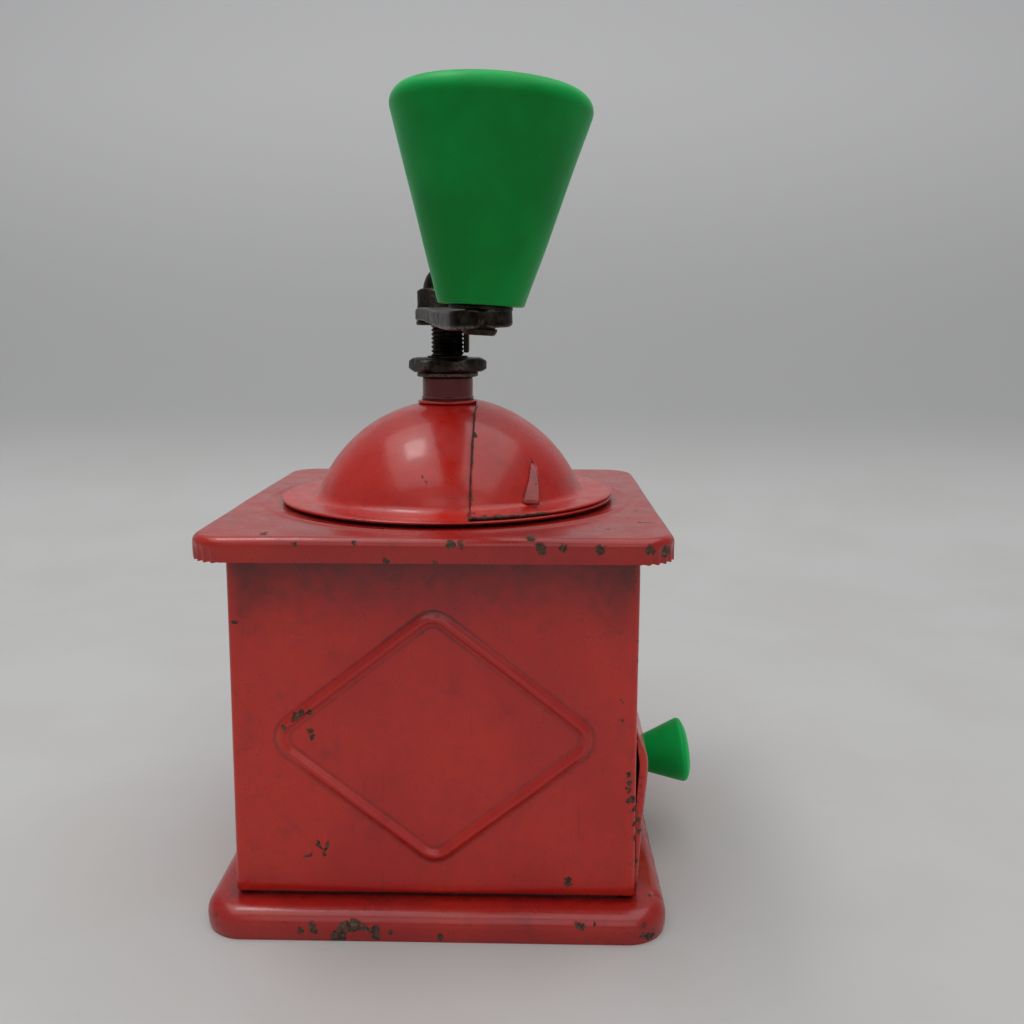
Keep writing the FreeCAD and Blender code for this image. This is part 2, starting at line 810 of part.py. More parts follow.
def shaft_hole(body, name, level, length, turn="0"):
    """Cuts the hole that fits the spindle's flats, upwards from a level."""
    sketch = new_sketch(body, name, level=level)
    sketch.setExpression("AttachmentOffset.Rotation.Angle", f"{turn} * 1 deg")
    radius, flat = "Dims.spindle_radius", "(Dims.flat_width / 2)"
    reach = f"sqrt({radius}^2 - {flat}^2)"
    outline(
        sketch,
        [
            (f"-{reach}", f"-{flat}"), (reach, f"-{flat}"), ("arc", "0", "0"),
            (reach, flat), (f"-{reach}", flat), ("arc", "0", "0"),
        ],
    )
    pocket(body, sketch, length, backwards=True)


def tab_washer():
    """The washer under the arm, with a tongue bent down beside the thread."""
    body = new_body("tab_washer")
    disc = new_sketch(body, "tab_washer_disc", level="Dims.shoulder")
    circle(disc, "Dims.tab_washer_radius")
    pad(body, disc, "Dims.tab_washer_thick")
    tongue = new_sketch(body, "tongue", level="Dims.tongue_low")
    near, half = "Dims.tongue_near", "(Dims.tongue_width / 2)"
    outline(tongue, rectangle(near, f"-{half}", f"{near} + Dims.tongue_thick", half))
    pad(body, tongue, "Dims.shoulder - Dims.tongue_low + Dims.tab_washer_thick / 2")
    shaft_hole(body, "washer_hole", "Dims.shoulder", "Dims.tab_washer_thick")


def turn_with_arm(body):
    """Turns a body about the Z axis to the arm's direction."""
    body.Placement = FreeCAD.Placement(
        FreeCAD.Vector(), FreeCAD.Rotation(UP, value("Dims.arm_angle"))
    )


def arm_section(body, name, half_wide, along, drop, roll):
    """A cross-section of the arm, at a distance from the spindle."""
    sketch = new_sketch(body, name, "XZ_Plane")
    height = f"({ARM_LOW} + Dims.arm_thick/2 - {drop})"
    sketch.AttachmentOffset = FreeCAD.Placement(
        FreeCAD.Vector(0, value(height), value(along)), FreeCAD.Rotation(UP, -value(roll))
    )
    thick = "(Dims.arm_thick/2)"
    outline(sketch, rectangle(f"-{half_wide}", f"-{thick}", half_wide, thick))
    return sketch


def tip_placement(rise):
    """The arm's tip: a point on the knob's axis above the arm's upper face there, and
    that axis, which leans with the arm."""
    lean = FreeCAD.Rotation(FreeCAD.Vector(0, 1, 0), value("Dims.arm_roll"))
    middle = FreeCAD.Vector(
        0, -value("Dims.crank_radius"), value(f"{ARM_LOW} + Dims.arm_thick/2 - Dims.arm_drop")
    )
    height = value(f"Dims.arm_thick/2 + {rise}")
    return FreeCAD.Placement(middle + lean.multVec(FreeCAD.Vector(0, 0, height)), lean)


def crank_arm():
    """A flat bar that narrows from its round hub to its round tip. Between the two it
    drops a little and is slightly twisted, as bent by use."""
    body = new_body("crank_arm")
    hub_wide, tip_wide = "(Dims.arm_hub - 0.1)", "Dims.arm_tip"
    taper = f"(({hub_wide} - {tip_wide}) / Dims.crank_radius)"
    shoulder = "(Dims.arm_hub + Dims.arm_flat)"
    wrist = "(Dims.crank_radius - Dims.knob_washer_radius - Dims.arm_flat)"
    drop, roll = "Dims.arm_drop", "Dims.arm_roll"
    bar = body.newObject("PartDesign::AdditiveLoft", "bar")
    bar.Profile = arm_section(body, "arm_root", hub_wide, "0", "0", "0")
    bar.Sections = [
        arm_section(body, "arm_shoulder", f"({hub_wide} - {taper} * {shoulder})", shoulder, "0", "0"),
        arm_section(body, "arm_wrist", f"({hub_wide} - {taper} * {wrist})", wrist, drop, roll),
        arm_section(body, "arm_end", tip_wide, "Dims.crank_radius", drop, roll),
    ]
    bar.Ruled = True
    doc.recompute()
    hub = new_sketch(body, "arm_hub", level=ARM_LOW)
    circle(hub, "Dims.arm_hub")
    pad(body, hub, "Dims.arm_thick")
    end = new_sketch(body, "arm_tip")
    end.AttachmentOffset = tip_placement("-Dims.arm_thick")
    circle(end, "Dims.arm_tip")
    pad(body, end, "Dims.arm_thick")
    pin_hole = new_sketch(body, "arm_pin_hole")
    pin_hole.AttachmentOffset = tip_placement("1")
    circle(pin_hole, "Dims.pin_radius")
    pocket(body, pin_hole, "Dims.arm_thick + 2")
    shaft_hole(
        body, "arm_shaft_hole", f"{ARM_LOW} - 1", "Dims.arm_thick + 2", turn="-Dims.arm_angle"
    )
    turn_with_arm(body)


def cap_nut():
    """A domed hexagon nut over the end of the spindle."""
    body = new_body("cap_nut")
    block = new_sketch(body, "cap_hexagon", level=ARM_HIGH)
    outline(block, hexagon("Dims.cap_across", "Dims.arm_angle"))
    pad(body, block, "Dims.cap_hex_tall")
    hex_high = f"({ARM_HIGH} + Dims.cap_hex_tall)"
    bevelled(body, "cap_bevel", "Dims.cap_across", hex_high, down=True)
    dome = new_sketch(body, "cap_dome", "XZ_Plane")
    outline(
        dome,
        [
            ("0", f"{hex_high} - 0.5"), ("Dims.cap_dome", f"{hex_high} - 0.5"),
            ("Dims.cap_dome", hex_high), ("arc", "0", hex_high),
            ("0", f"{hex_high} + Dims.cap_dome"),
        ],
    )
    revolve(body, dome)
    thread = new_sketch(body, "cap_thread", level=ARM_HIGH)
    circle(thread, "Dims.spindle_radius")
    pocket(body, thread, f"Dims.spindle_top + 0.3 - {ARM_HIGH}", backwards=True)


def at_tip(body, rise):
    """Stands a body on the knob's axis."""
    turn = FreeCAD.Placement(FreeCAD.Vector(), FreeCAD.Rotation(UP, value("Dims.arm_angle")))
    body.Placement = turn.multiply(tip_placement(rise))


KNOB_LOW = "(Dims.knob_washer_thick + Dims.knob_end_gap)"


def knob_washer():
    body = ring(
        "knob_washer", "Dims.pin_radius", "Dims.knob_washer_radius", "0",
        "Dims.knob_washer_thick",
    )
    at_tip(body, "0")


def knob_crown():
    """The crank knob's shoulder and crown: the shoulder arc runs on smoothly from the
    cone, and the crown from the shoulder."""
    low, high, tall = "Dims.knob_low_radius", "Dims.knob_high_radius", "Dims.knob_cone_tall"
    slope = f"atan(({high} - {low}) / {tall})"
    round_off = "Dims.knob_shoulder"
    centre = (f"({high} - {round_off} * cos({slope}))", f"({tall} + {round_off} * sin({slope}))")
    steep = "75 * 1 deg"
    end = (
        f"({centre[0]} + {round_off} * cos({steep}))",
        f"({centre[1]} + {round_off} * sin({steep}))",
    )
    crown_radius = f"({end[0]} / cos({steep}))"
    crown_centre = f"({end[1]} - {end[0]} * tan({steep}))"
    edge = "Dims.knob_recess_radius"
    lip = (edge, f"({crown_centre} + sqrt({crown_radius}^2 - {edge}^2))")
    return centre, end, crown_centre, lip


def crank_knob():
    """A moulded cone shaped knob, hollowed on top for the pin's head."""
    centre, end, crown_centre, lip = knob_crown()
    bore = "(Dims.pin_radius + Dims.knob_clearance)"
    floor = f"({lip[1]} - Dims.knob_recess_deep)"
    body = turned(
        "crank_knob",
        [
            (bore, "0"), ("Dims.knob_low_radius", "0"),
            ("Dims.knob_high_radius", "Dims.knob_cone_tall"), ("arc", *centre),
            end, ("arc", "0", crown_centre),
            lip, (lip[0], floor), (bore, floor),
        ],
    )
    at_tip(body, KNOB_LOW)


def knob_pin():
    """The rivet that the knob turns on: a round head in the knob's recess, and its
    peened end under the arm."""
    lip = knob_crown()[3]
    head_low = f"({KNOB_LOW} + {lip[1]} - Dims.knob_recess_deep + Dims.knob_end_gap)"
    head_high = f"({head_low} + Dims.pin_head_tall)"
    shaft, head, peened = "Dims.pin_radius", "Dims.pin_head", "Dims.rivet_radius"
    under, end = "(-Dims.arm_thick)", "(-Dims.arm_thick - Dims.rivet_tall)"
    body = turned(
        "knob_pin",
        [
            ("0", end), (f"({peened} - 0.5)", end), (peened, f"({end} + 0.5)"),
            (peened, under), (shaft, under), (shaft, head_low), (head, head_low),
            (head, f"({head_low} + 0.4)"), (f"({head} - 1.4)", head_high), ("0", head_high),
        ],
    )
    at_tip(body, "0")


# ---------------------------------------------------------------- mill


DRIVE_PIN_LEVEL = "(Dims.cone_low + Dims.drive_pin_radius + 0.1)"
FRAME_HIGH = "(Dims.plate_top - Dims.sheet)"


def mill_frame():
    """The cast frame: a flange under the plate, a barrel that holds the outer burr, and
    a bridge with a hub in which the neck tube stands."""
    bore, barrel, flange = "Dims.barrel_bore", "Dims.barrel_radius", "Dims.flange_radius"
    flange_low = f"({FRAME_HIGH} - Dims.flange_thick)"
    body = turned(
        "mill_frame",
        [
            (bore, "Dims.barrel_low"), (barrel, "Dims.barrel_low"), (barrel, flange_low),
            (flange, flange_low), (flange, FRAME_HIGH), (bore, FRAME_HIGH),
        ],
    )
    bridge = new_sketch(body, "bridge", level="Dims.neck_low")
    half, reach = "(Dims.bridge_width / 2)", f"({bore} + 1)"
    outline(bridge, rectangle(f"-{half}", f"-{reach}", half, reach))
    pad(body, bridge, "Dims.bridge_tall")
    hub = new_sketch(body, "hub", level="Dims.neck_low")
    circle(hub, "Dims.hub_radius")
    pad(body, hub, "Dims.hub_high - Dims.neck_low")
    holes = new_sketch(body, "frame_holes", level=FRAME_HIGH)
    circle(holes, "Dims.neck_radius")
    for across, along in screw_places():
        circle(holes, "Dims.screw_radius", across, along)
    pocket(body, holes, f"{FRAME_HIGH} - Dims.neck_low + 1")


def frame_screws():
    """Three screws with slotted heads, from inside the hopper into the mill's flange."""
    head_low, head_high = "Dims.plate_top", "(Dims.plate_top + Dims.screw_head_tall)"
    low = f"({FRAME_HIGH} - Dims.screw_long)"
    screws = []
    for k, (across, along) in enumerate(screw_places()):
        screw = doc.addObject("PartDesign::Body", f"screw_{k}")
        profile = new_sketch(screw, f"screw_{k}_profile", "XZ_Plane")
        outline(
            profile,
            [
                ("0", low), ("Dims.screw_radius", low), ("Dims.screw_radius", head_low),
                ("Dims.screw_head", head_low), ("Dims.screw_head", f"{head_high} - 0.5"),
                ("Dims.screw_head - 0.5", head_high), ("0", head_high),
            ],
        )
        revolve(screw, profile)
        slot = new_sketch(screw, f"screw_{k}_slot", level=head_high)
        outline(slot, rectangle("-Dims.screw_head", "-0.5", "Dims.screw_head", "0.5"))
        pocket(screw, slot, "1")
        screw.setExpression("Placement.Base.x", across)
        screw.setExpression("Placement.Base.y", along)
        screws.append(screw)
    group = keep(doc.addObject("Part::Compound", "frame_screws"), "frame_screws")
    group.Links = screws
    doc.recompute()


def cone_radius(level):
    """The outer burr's inner radius at a height."""
    fall = "(Dims.burr_low_radius - Dims.burr_high_radius)"
    tall = "(Dims.burr_high - Dims.barrel_low)"
    return f"(Dims.burr_low_radius - ({level} - Dims.barrel_low) * {fall} / {tall})"


def teeth(body, name, low, high, near, far, count):
    """Cuts grooves along a cone, between two distances from its surface."""
    sketch = new_sketch(body, name, "XZ_Plane")
    outline(
        sketch,
        [
            (f"{cone_radius(low)} + {near}", low), (f"{cone_radius(low)} + {far}", low),
            (f"{cone_radius(high)} + {far}", high), (f"{cone_radius(high)} + {near}", high),
        ],
    )
    one = pocket(body, sketch, "Dims.tooth_width", both_ways=True)
    pattern(body, one, count)


def outer_burr():
    """The fixed grinding ring, pressed into the frame's barrel."""
    low, high = "Dims.barrel_low", "Dims.burr_high"
    body = turned(
        "outer_burr",
        [
            (cone_radius(low), low), ("Dims.barrel_bore", low), ("Dims.barrel_bore", high),
            (cone_radius(high), high),
        ],
    )
    teeth(
        body, "outer_tooth", f"({low} - 1)", f"({high} + 1)", "(-1)", "Dims.tooth_deep",
        "Dims.outer_teeth",
    )


def inner_burr():
    """The grinding cone on the spindle, with a slot below for the pin that drives it."""
    low, high, gap = "Dims.cone_low", "Dims.cone_high", "Dims.burr_gap"
    body = turned(
        "inner_burr",
        [
            ("Dims.spindle_radius", low), (f"{cone_radius(low)} - {gap}", low),
            (f"{cone_radius(high)} - {gap}", high), ("Dims.spindle_radius", high),
        ],
    )
    teeth(
        body, "inner_tooth", f"({low} - 1)", f"({high} + 1)",
        f"(-{gap} - Dims.tooth_deep)", "1", "Dims.inner_teeth",
    )
    slot = new_sketch(body, "drive_slot", level=low)
    half, wide = "(Dims.drive_pin_long/2 + 0.3)", "Dims.drive_pin_radius"
    outline(slot, rectangle(f"-{wide}", f"-{half}", wide, half))
    pocket(body, slot, f"{DRIVE_PIN_LEVEL} + {wide} - {low}", backwards=True)


def burr_pin():
    """The cross pin through the spindle that turns the inner burr."""
    body = new_body("burr_pin")
    section = new_sketch(body, "burr_pin_section", "XZ_Plane")
    circle(section, "Dims.drive_pin_radius", "0", DRIVE_PIN_LEVEL)
    pad(body, section, "Dims.drive_pin_long", both_ways=True)


SPRING_LOW = "(Dims.cone_high + Dims.knob_end_gap + Dims.spring_washer_thick)"


def spring_washer():
    """Lies on the inner burr, and carries the spring."""
    ring(
        "spring_washer", "(Dims.spindle_radius + 0.15)", "Dims.spring_washer_radius",
        "(Dims.cone_high + Dims.knob_end_gap)", "Dims.spring_washer_thick",
    )


def burr_spring():
    """Pushes the inner burr down, so that the adjusting nut stays on its washer."""
    body = new_body("burr_spring")
    wire = new_sketch(body, "spring_wire", "XZ_Plane")
    circle(wire, "Dims.spring_wire", "Dims.spring_radius", f"{SPRING_LOW} + Dims.spring_wire")
    coil = body.newObject("PartDesign::AdditiveHelix", "coil")
    coil.Profile = wire
    coil.ReferenceAxis = (wire, ["V_Axis"])
    coil.Mode = "height-turns-angle"
    tall = f"(Dims.neck_low - {SPRING_LOW} - 2 * Dims.spring_wire)"
    coil.setExpression("Height", tall)
    coil.setExpression("Turns", "Dims.spring_turns")
    doc.recompute()


# ---------------------------------------------------------------- drawer


def drawer_box():
    """The tray that the ground coffee falls into."""
    body = new_body("drawer_box")
    plan = new_sketch(body, "drawer_plan", level="Dims.drawer_low")
    half = "Dims.drawer_half_wide"
    outline(plan, rectangle("Dims.drawer_back", f"-{half}", "Dims.drawer_face", half))
    block = pad(body, plan, "Dims.drawer_high - Dims.drawer_low")
    high = value("Dims.drawer_high")
    lower = edges_where(block.Shape, lambda edge: min(v.Z for v in edge.Vertexes) < high - 1)
    rounded = fillet(body, block, lower, "1.5")
    top = faces_where(rounded.Shape, lambda f: abs(f.CenterOfMass.z - high) < 1e-4)
    hollow(body, rounded, top, "Dims.thin_sheet")
    screw_hole(body, "tray_hole", "Dims.drawer_face + 1")


def screw_hole(body, name, face):
    """Cuts the drawer knob's screw hole, inwards from a plane across the X axis."""
    sketch = new_sketch(body, name, "YZ_Plane", face)
    circle(sketch, "(Dims.drawer_screw_radius + 0.45)", "0", "Dims.drawer_knob_level")
    pocket(body, sketch, "4")


def drawer_front():
    """The pressed front: a shallow pan that leans out towards its curled top edge."""
    body = new_body("drawer_front")
    back, low, high = "Dims.front_back", "Dims.front_low", "Dims.front_high"
    curl, out = "Dims.front_curl", "Dims.front_high_out"
    side = new_sketch(body, "front_side", "XZ_Plane")
    outline(
        side,
        [
            (back, low), ("Dims.front_low_out", low), (out, f"({high} - {curl})"),
            ("arc", f"({out} - {curl})", f"({high} - {curl})"), (f"({out} - {curl})", high),
            (back, high),
        ],
    )
    block = pad(body, side, "2 * Dims.front_half_wide", both_ways=True)
    half, behind = value("Dims.front_half_wide"), value(back)

    def at_the_side(edge):
        box = edge.BoundBox
        return (
            box.YLength < TINY
            and abs(abs(box.YMax) - half) < 1e-4
            and box.XMax > behind + 0.1
            and box.ZLength > 1
        )

    rounded = fillet(body, block, edges_where(block.Shape, at_the_side), "1.2")
    open_side = faces_where(rounded.Shape, lambda f: abs(f.CenterOfMass.x - behind) < 1e-4)
    hollow(body, rounded, open_side, "Dims.thin_sheet")
    screw_hole(body, "front_hole", f"{out} + 1")


def on_drawer_knob(body):
    """Lays a body that was turned about Z along the drawer knob's axis."""
    lean = FreeCAD.Rotation(FreeCAD.Vector(0, 1, 0), 90 - value("Dims.drawer_knob_tilt"))
    start = FreeCAD.Vector(value("Dims.drawer_knob_start"), 0, value("Dims.drawer_knob_level"))
    body.Placement = FreeCAD.Placement(start, lean)


def drawer_knob():
    """A small moulded cone, wide end outwards."""
    small, large = "Dims.drawer_knob_small", "Dims.drawer_knob_large"
    cone, long, soft = "Dims.drawer_knob_cone", "Dims.drawer_knob_long", "Dims.drawer_knob_round"
    rim = (f"({large} - {soft})", f"({cone} + {soft})")
    crown = f"(({long}^2 - {rim[1]}^2 - {rim[0]}^2) / (2 * ({long} - {rim[1]})))"
    screw, deep = "Dims.drawer_screw_radius", "Dims.drawer_screw_deep"
    body = turned(
        "drawer_knob",
        [
            (screw, "0"), (small, "0"), (large, cone), ("arc", rim[0], cone),
            rim, ("arc", "0", crown), ("0", long), ("0", deep), (screw, deep),
        ],
    )
    on_drawer_knob(body)


def drawer_screw():
    """Holds the drawer knob from inside the tray."""
    screw, head, deep = "Dims.drawer_screw_radius", "Dims.drawer_screw_head", "Dims.drawer_screw_deep"
    seat = "(Dims.drawer_face - Dims.thin_sheet - Dims.drawer_knob_start - 0.3)"
    end = f"({seat} - 2)"
    body = turned(
        "drawer_screw",
        [
            ("0", end), (f"({head} - 0.8)", end), (head, f"({end} + 0.8)"), (head, seat),
            (screw, seat), (screw, deep), ("0", deep),
        ],
    )
    on_drawer_knob(body)


def drawer_guide(label, side):
    """An angle strip on the base, beside the tray."""
    body = new_body(label)
    section = new_sketch(body, label + "_section", "YZ_Plane")
    near = "(Dims.drawer_half_wide + 0.3)"
    thick, low = "Dims.thin_sheet", "Dims.base_height"
    corners = [
        (near, low), (f"({near} + Dims.guide_foot)", low),
        (f"({near} + Dims.guide_foot)", f"({low} + {thick})"),
        (f"({near} + {thick})", f"({low} + {thick})"),
        (f"({near} + {thick})", f"({low} + Dims.guide_leg)"),
        (near, f"({low} + Dims.guide_leg)"),
    ]
    outline(section, [(f"{side}{across}", level) for across, level in corners])
    pad(body, section, "Dims.guide_long", both_ways=True)


# ---------------------------------------------------------------- assembly


def build():
    base_pan()
    bottom_plate()
    body_shell()
    top_plate()
    hopper_dome()
    dome_door()
    neck_tube()
    neck_washer()
    adjusting_nut()
    spindle()
    tab_washer()
    crank_arm()
    cap_nut()
    knob_washer()
    crank_knob()
    knob_pin()
    mill_frame()
    frame_screws()
    outer_burr()
    inner_burr()
    burr_pin()
    spring_washer()
    burr_spring()
    drawer_box()
    drawer_front()
    drawer_knob()
    drawer_screw()
    drawer_guide("drawer_guide_near", "-")
    drawer_guide("drawer_guide_far", "")
    doc.recompute()


def check():
    """Stops if any object failed, or any sub-part isn't sound."""
    for obj in doc.Objects:
        if "Invalid" in obj.State or "Error" in obj.State:
            raise RuntimeError(f"{obj.Name} failed: {obj.State}")
    for node in nodes:
        shape = node.Shape
        if shape.isNull() or not shape.isValid() or not shape.Solids:
            raise RuntimeError(f"{node.Label} is not a sound solid")


def write():
    os.makedirs("parts", exist_ok=True)
    for node in nodes:
        node.Shape.exportStep(f"parts/{node.Label}.step")
        size = node.Shape.BoundBox
        print(
            f"{node.Label}: {len(node.Shape.Solids)} solid, {node.Shape.Volume / 1000:.2f} cm3,"
            f" X {size.XMin:.1f} {size.XMax:.1f} Y {size.YMin:.1f} {size.YMax:.1f}"
            f" Z {size.ZMin:.1f} {size.ZMax:.1f}"
        )


build()
check()
write()
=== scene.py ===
"""The looks of a hand crank coffee grinder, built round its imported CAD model.

Shapes are worked out in millimetres, in the row frame, and become metres when a mesh is made.
"""

import json
import math

import bmesh
import bpy
from mathutils import Matrix, Vector, noise


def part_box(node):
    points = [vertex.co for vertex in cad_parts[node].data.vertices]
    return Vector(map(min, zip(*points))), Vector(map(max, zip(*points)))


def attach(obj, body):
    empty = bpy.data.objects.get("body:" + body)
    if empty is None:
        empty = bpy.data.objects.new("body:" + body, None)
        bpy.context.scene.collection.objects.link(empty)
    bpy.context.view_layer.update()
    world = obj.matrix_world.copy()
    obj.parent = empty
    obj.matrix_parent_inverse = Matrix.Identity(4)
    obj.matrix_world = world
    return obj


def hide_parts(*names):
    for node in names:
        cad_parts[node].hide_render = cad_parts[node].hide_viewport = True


MM = 0.001
TURN = 2 * math.pi
Z_AXIS = Vector((0, 0, 1))

# Sheet work
SHEET = 0.7
THIN_SHEET = 0.6
DENT_SIZE = 21.0
DENT_DEPTH = 0.16

# Mesh spacing
SIDE_STEPS = 56
CORNER_STEPS = 28
BEND_STEP = math.radians(11)
WELD = 0.001
SHARP_ANGLE = math.radians(42)

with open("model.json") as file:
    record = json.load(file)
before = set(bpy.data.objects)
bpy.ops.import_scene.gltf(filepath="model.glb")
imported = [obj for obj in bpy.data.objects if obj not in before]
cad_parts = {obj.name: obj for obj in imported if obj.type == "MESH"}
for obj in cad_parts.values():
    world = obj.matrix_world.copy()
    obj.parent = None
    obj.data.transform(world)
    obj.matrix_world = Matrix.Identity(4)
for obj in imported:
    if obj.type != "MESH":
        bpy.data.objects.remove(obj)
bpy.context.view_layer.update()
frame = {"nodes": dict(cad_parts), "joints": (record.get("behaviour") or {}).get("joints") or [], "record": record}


# ---------------------------------------------------------------- places from the frame


def span(node):
    """The lowest and highest corner of a CAD node, in millimetres."""
    low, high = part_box(node)
    return low / MM, high / MM


def joint(name):
    """The place and axis of a joint, in millimetres."""
    found = next(j for j in frame["joints"] if j["name"] == name)
    return Vector(found["pos_m"]) / MM, Vector(found["axis"])


# ---------------------------------------------------------------- shapes


def spread(first, last, steps):
    """Numbers from first to last, in that many equal steps."""
    return [first + (last - first) * k / steps for k in range(steps + 1)]


def smooth(x, low, high):
    """0 below low, 1 above high, and a soft rise between them."""
    t = min(1.0, max(0.0, (x - low) / (high - low)))
    return t * t * (3 - 2 * t)


def rounded(path, longest=4.0, closed=False):
    """Points along a path of (across, up, radius) corners: each corner is rounded by its
    radius, and long runs are divided."""
    bends = []
    for k, (across, up, radius) in enumerate(path):
        corner = Vector((across, up))
        end = not closed and k in (0, len(path) - 1)
        if radius == 0 or end:
            bends.append([corner])
            continue
        back = (Vector(path[k - 1][:2]) - corner).normalized()
        ahead = (Vector(path[(k + 1) % len(path)][:2]) - corner).normalized()
        half = back.angle(ahead) / 2
        centre = corner + (back + ahead).normalized() * radius / math.sin(half)
        start = corner + back * radius / math.tan(half) - centre
        turn = math.copysign(math.pi - 2 * half, ahead.x * back.y - ahead.y * back.x)
        steps = max(2, math.ceil(abs(turn) / BEND_STEP))
        bends.append([centre + Matrix.Rotation(turn * i / steps, 2) @ start for i in range(steps + 1)])
    points = list(bends[0])
    for bend in bends[1:] + ([bends[0]] if closed else []):
        first, last = points[-1], bend[0]
        parts = max(1, math.ceil((last - first).length / longest))
        points += [first.lerp(last, i / parts) for i in range(1, parts)] + bend
    return points[:-len(bends[0])] if closed else points


def round_ring(radius, level, count=96):
    """A ring of points round the Z axis."""
    return [
        Vector((radius * math.cos(TURN * k / count), radius * math.sin(TURN * k / count), level))
        for k in range(count)
    ]


def square_ring(half, corner, level):
    """Points round a square with round corners, starting on its +X side."""
    flat = half - corner
    quarter = [Vector((half, y, level)) for y in spread(-flat, flat, SIDE_STEPS)[:-1]]
    for angle in spread(0, math.pi / 2, CORNER_STEPS)[:-1]:
        place = (flat + corner * math.cos(angle), flat + corner * math.sin(angle), level)
        quarter.append(Vector(place))
    turns = [Matrix.Rotation(side * math.pi / 2, 3, "Z") for side in range(4)]
    return [turn @ point for turn in turns for point in quarter]


def corner_share(index):
    """How far a ring point is round its corner, from 0 to 1, or None on a straight side."""
    step = index % (SIDE_STEPS + CORNER_STEPS) - SIDE_STEPS
    return step / CORNER_STEPS if step >= 0 else None


def grid(rows, around=True, looped=False):
    """A mesh over rows of points: around joins each row's ends, looped the last row to
    the first."""
    wide = len(rows[0])
    faces = []
    for r in range(len(rows) if looped else len(rows) - 1):
        here, above = r * wide, (r + 1) % len(rows) * wide
        for k in range(wide if around else wide - 1):
            step = (k + 1) % wide
            faces.append((here + k, here + step, above + step, above + k))
    return [point for row in rows for point in row], faces


def joined(*shapes):
    """Several meshes as one."""
    points, faces = [], []
    for more_points, more_faces in shapes:
        faces += [tuple(k + len(points) for k in face) for face in more_faces]
        points += more_points
    return points, faces


def lathe(path, count=96, longest=2.0, closed=False):
    """A profile of (radius, level, rounding) corners turned round the Z axis."""
    rows = [round_ring(p.x, p.y, count) for p in rounded(path, longest, closed)]
    return grid(rows, looped=closed)


def moved(shape, matrix):
    points, faces = shape
    return [matrix @ point for point in points], faces


def on_axis(origin, axis, rise=0.0):
    """The matrix that stands a shape made round the Z axis on another axis."""
    return Matrix.Translation(origin + axis * rise) @ Z_AXIS.rotation_difference(axis).to_matrix().to_4x4()


def dented(shape, depth, size, seed, free=lambda point: 1.0):
    """Shallow waves over a shape, as in hand worked metal. free holds some points still."""
    points, faces = shape
    shift = Vector((13.7, 5.1, 9.3)) * seed
    waved = [p + noise.noise_vector(p / size + shift) * depth * free(p) for p in points]
    return waved, faces


# ---------------------------------------------------------------- pieces


def islands(form):
    """The faces of a mesh, in its unconnected parts."""
    left, parts = set(form.faces), []
    while left:
        part, edge = [], [left.pop()]
        while edge:
            face = edge.pop()
            part.append(face)
            near = {f for e in face.edges for f in e.link_faces} & left
            left -= near
            edge += near
        parts.append(part)
    return parts


def piece(name, shape, body, replaced, finishes, wear_and_painted_light=None, sheet=0.0):
    """A mesh that rides on a body and stands for CAD nodes. sheet is the thickness that an
    open surface is given inwards, and the per-point function gives each point a value: how rubbed it is, painted
    shade where it is below zero on the enamel, and a painted highlight on the green knobs' crowns."""
    points, faces = shape
    mesh = bpy.data.meshes.new(name)
    mesh.from_pydata([point * MM for point in points], [], faces)
    form = bmesh.new()
    form.from_mesh(mesh)
    bmesh.ops.remove_doubles(form, verts=form.verts, dist=WELD * MM)
    bmesh.ops.dissolve_degenerate(form, edges=form.edges, dist=WELD * MM)
    bmesh.ops.recalc_face_normals(form, faces=form.faces)
    form.normal_update()
    middle = sum((v.co for v in form.verts), Vector()) / len(form.verts)
    for part in islands(form):
        if sum(f.normal.dot(f.calc_center_median() - middle) * f.calc_area() for f in part) < 0:
            bmesh.ops.reverse_faces(form, faces=part)
    form.to_mesh(mesh)
    form.free()
    mesh.polygons.foreach_set("use_smooth", [True] * len(mesh.polygons))
    mesh.set_sharp_from_angle(angle=SHARP_ANGLE)
    for finish in finishes:
        mesh.materials.append(finish)
    if wear_and_painted_light:
        amount = mesh.attributes.new("wear_and_painted_light", "FLOAT", "POINT")
        amount.data.foreach_set("value", [wear_and_painted_light(v.co / MM) for v in mesh.vertices])
    made = bpy.data.objects.new(name, mesh)
    bpy.context.scene.collection.objects.link(made)
    if sheet:
        solid = made.modifiers.new("sheet", "SOLIDIFY")
        solid.thickness = sheet * MM
        solid.offset = -1
        solid.material_offset = len(finishes) - 1
        made.modifiers.new("shading", "WEIGHTED_NORMAL").keep_sharp = True
    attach(made, body)
    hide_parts(*replaced)
    return made


# ---------------------------------------------------------------- finishes


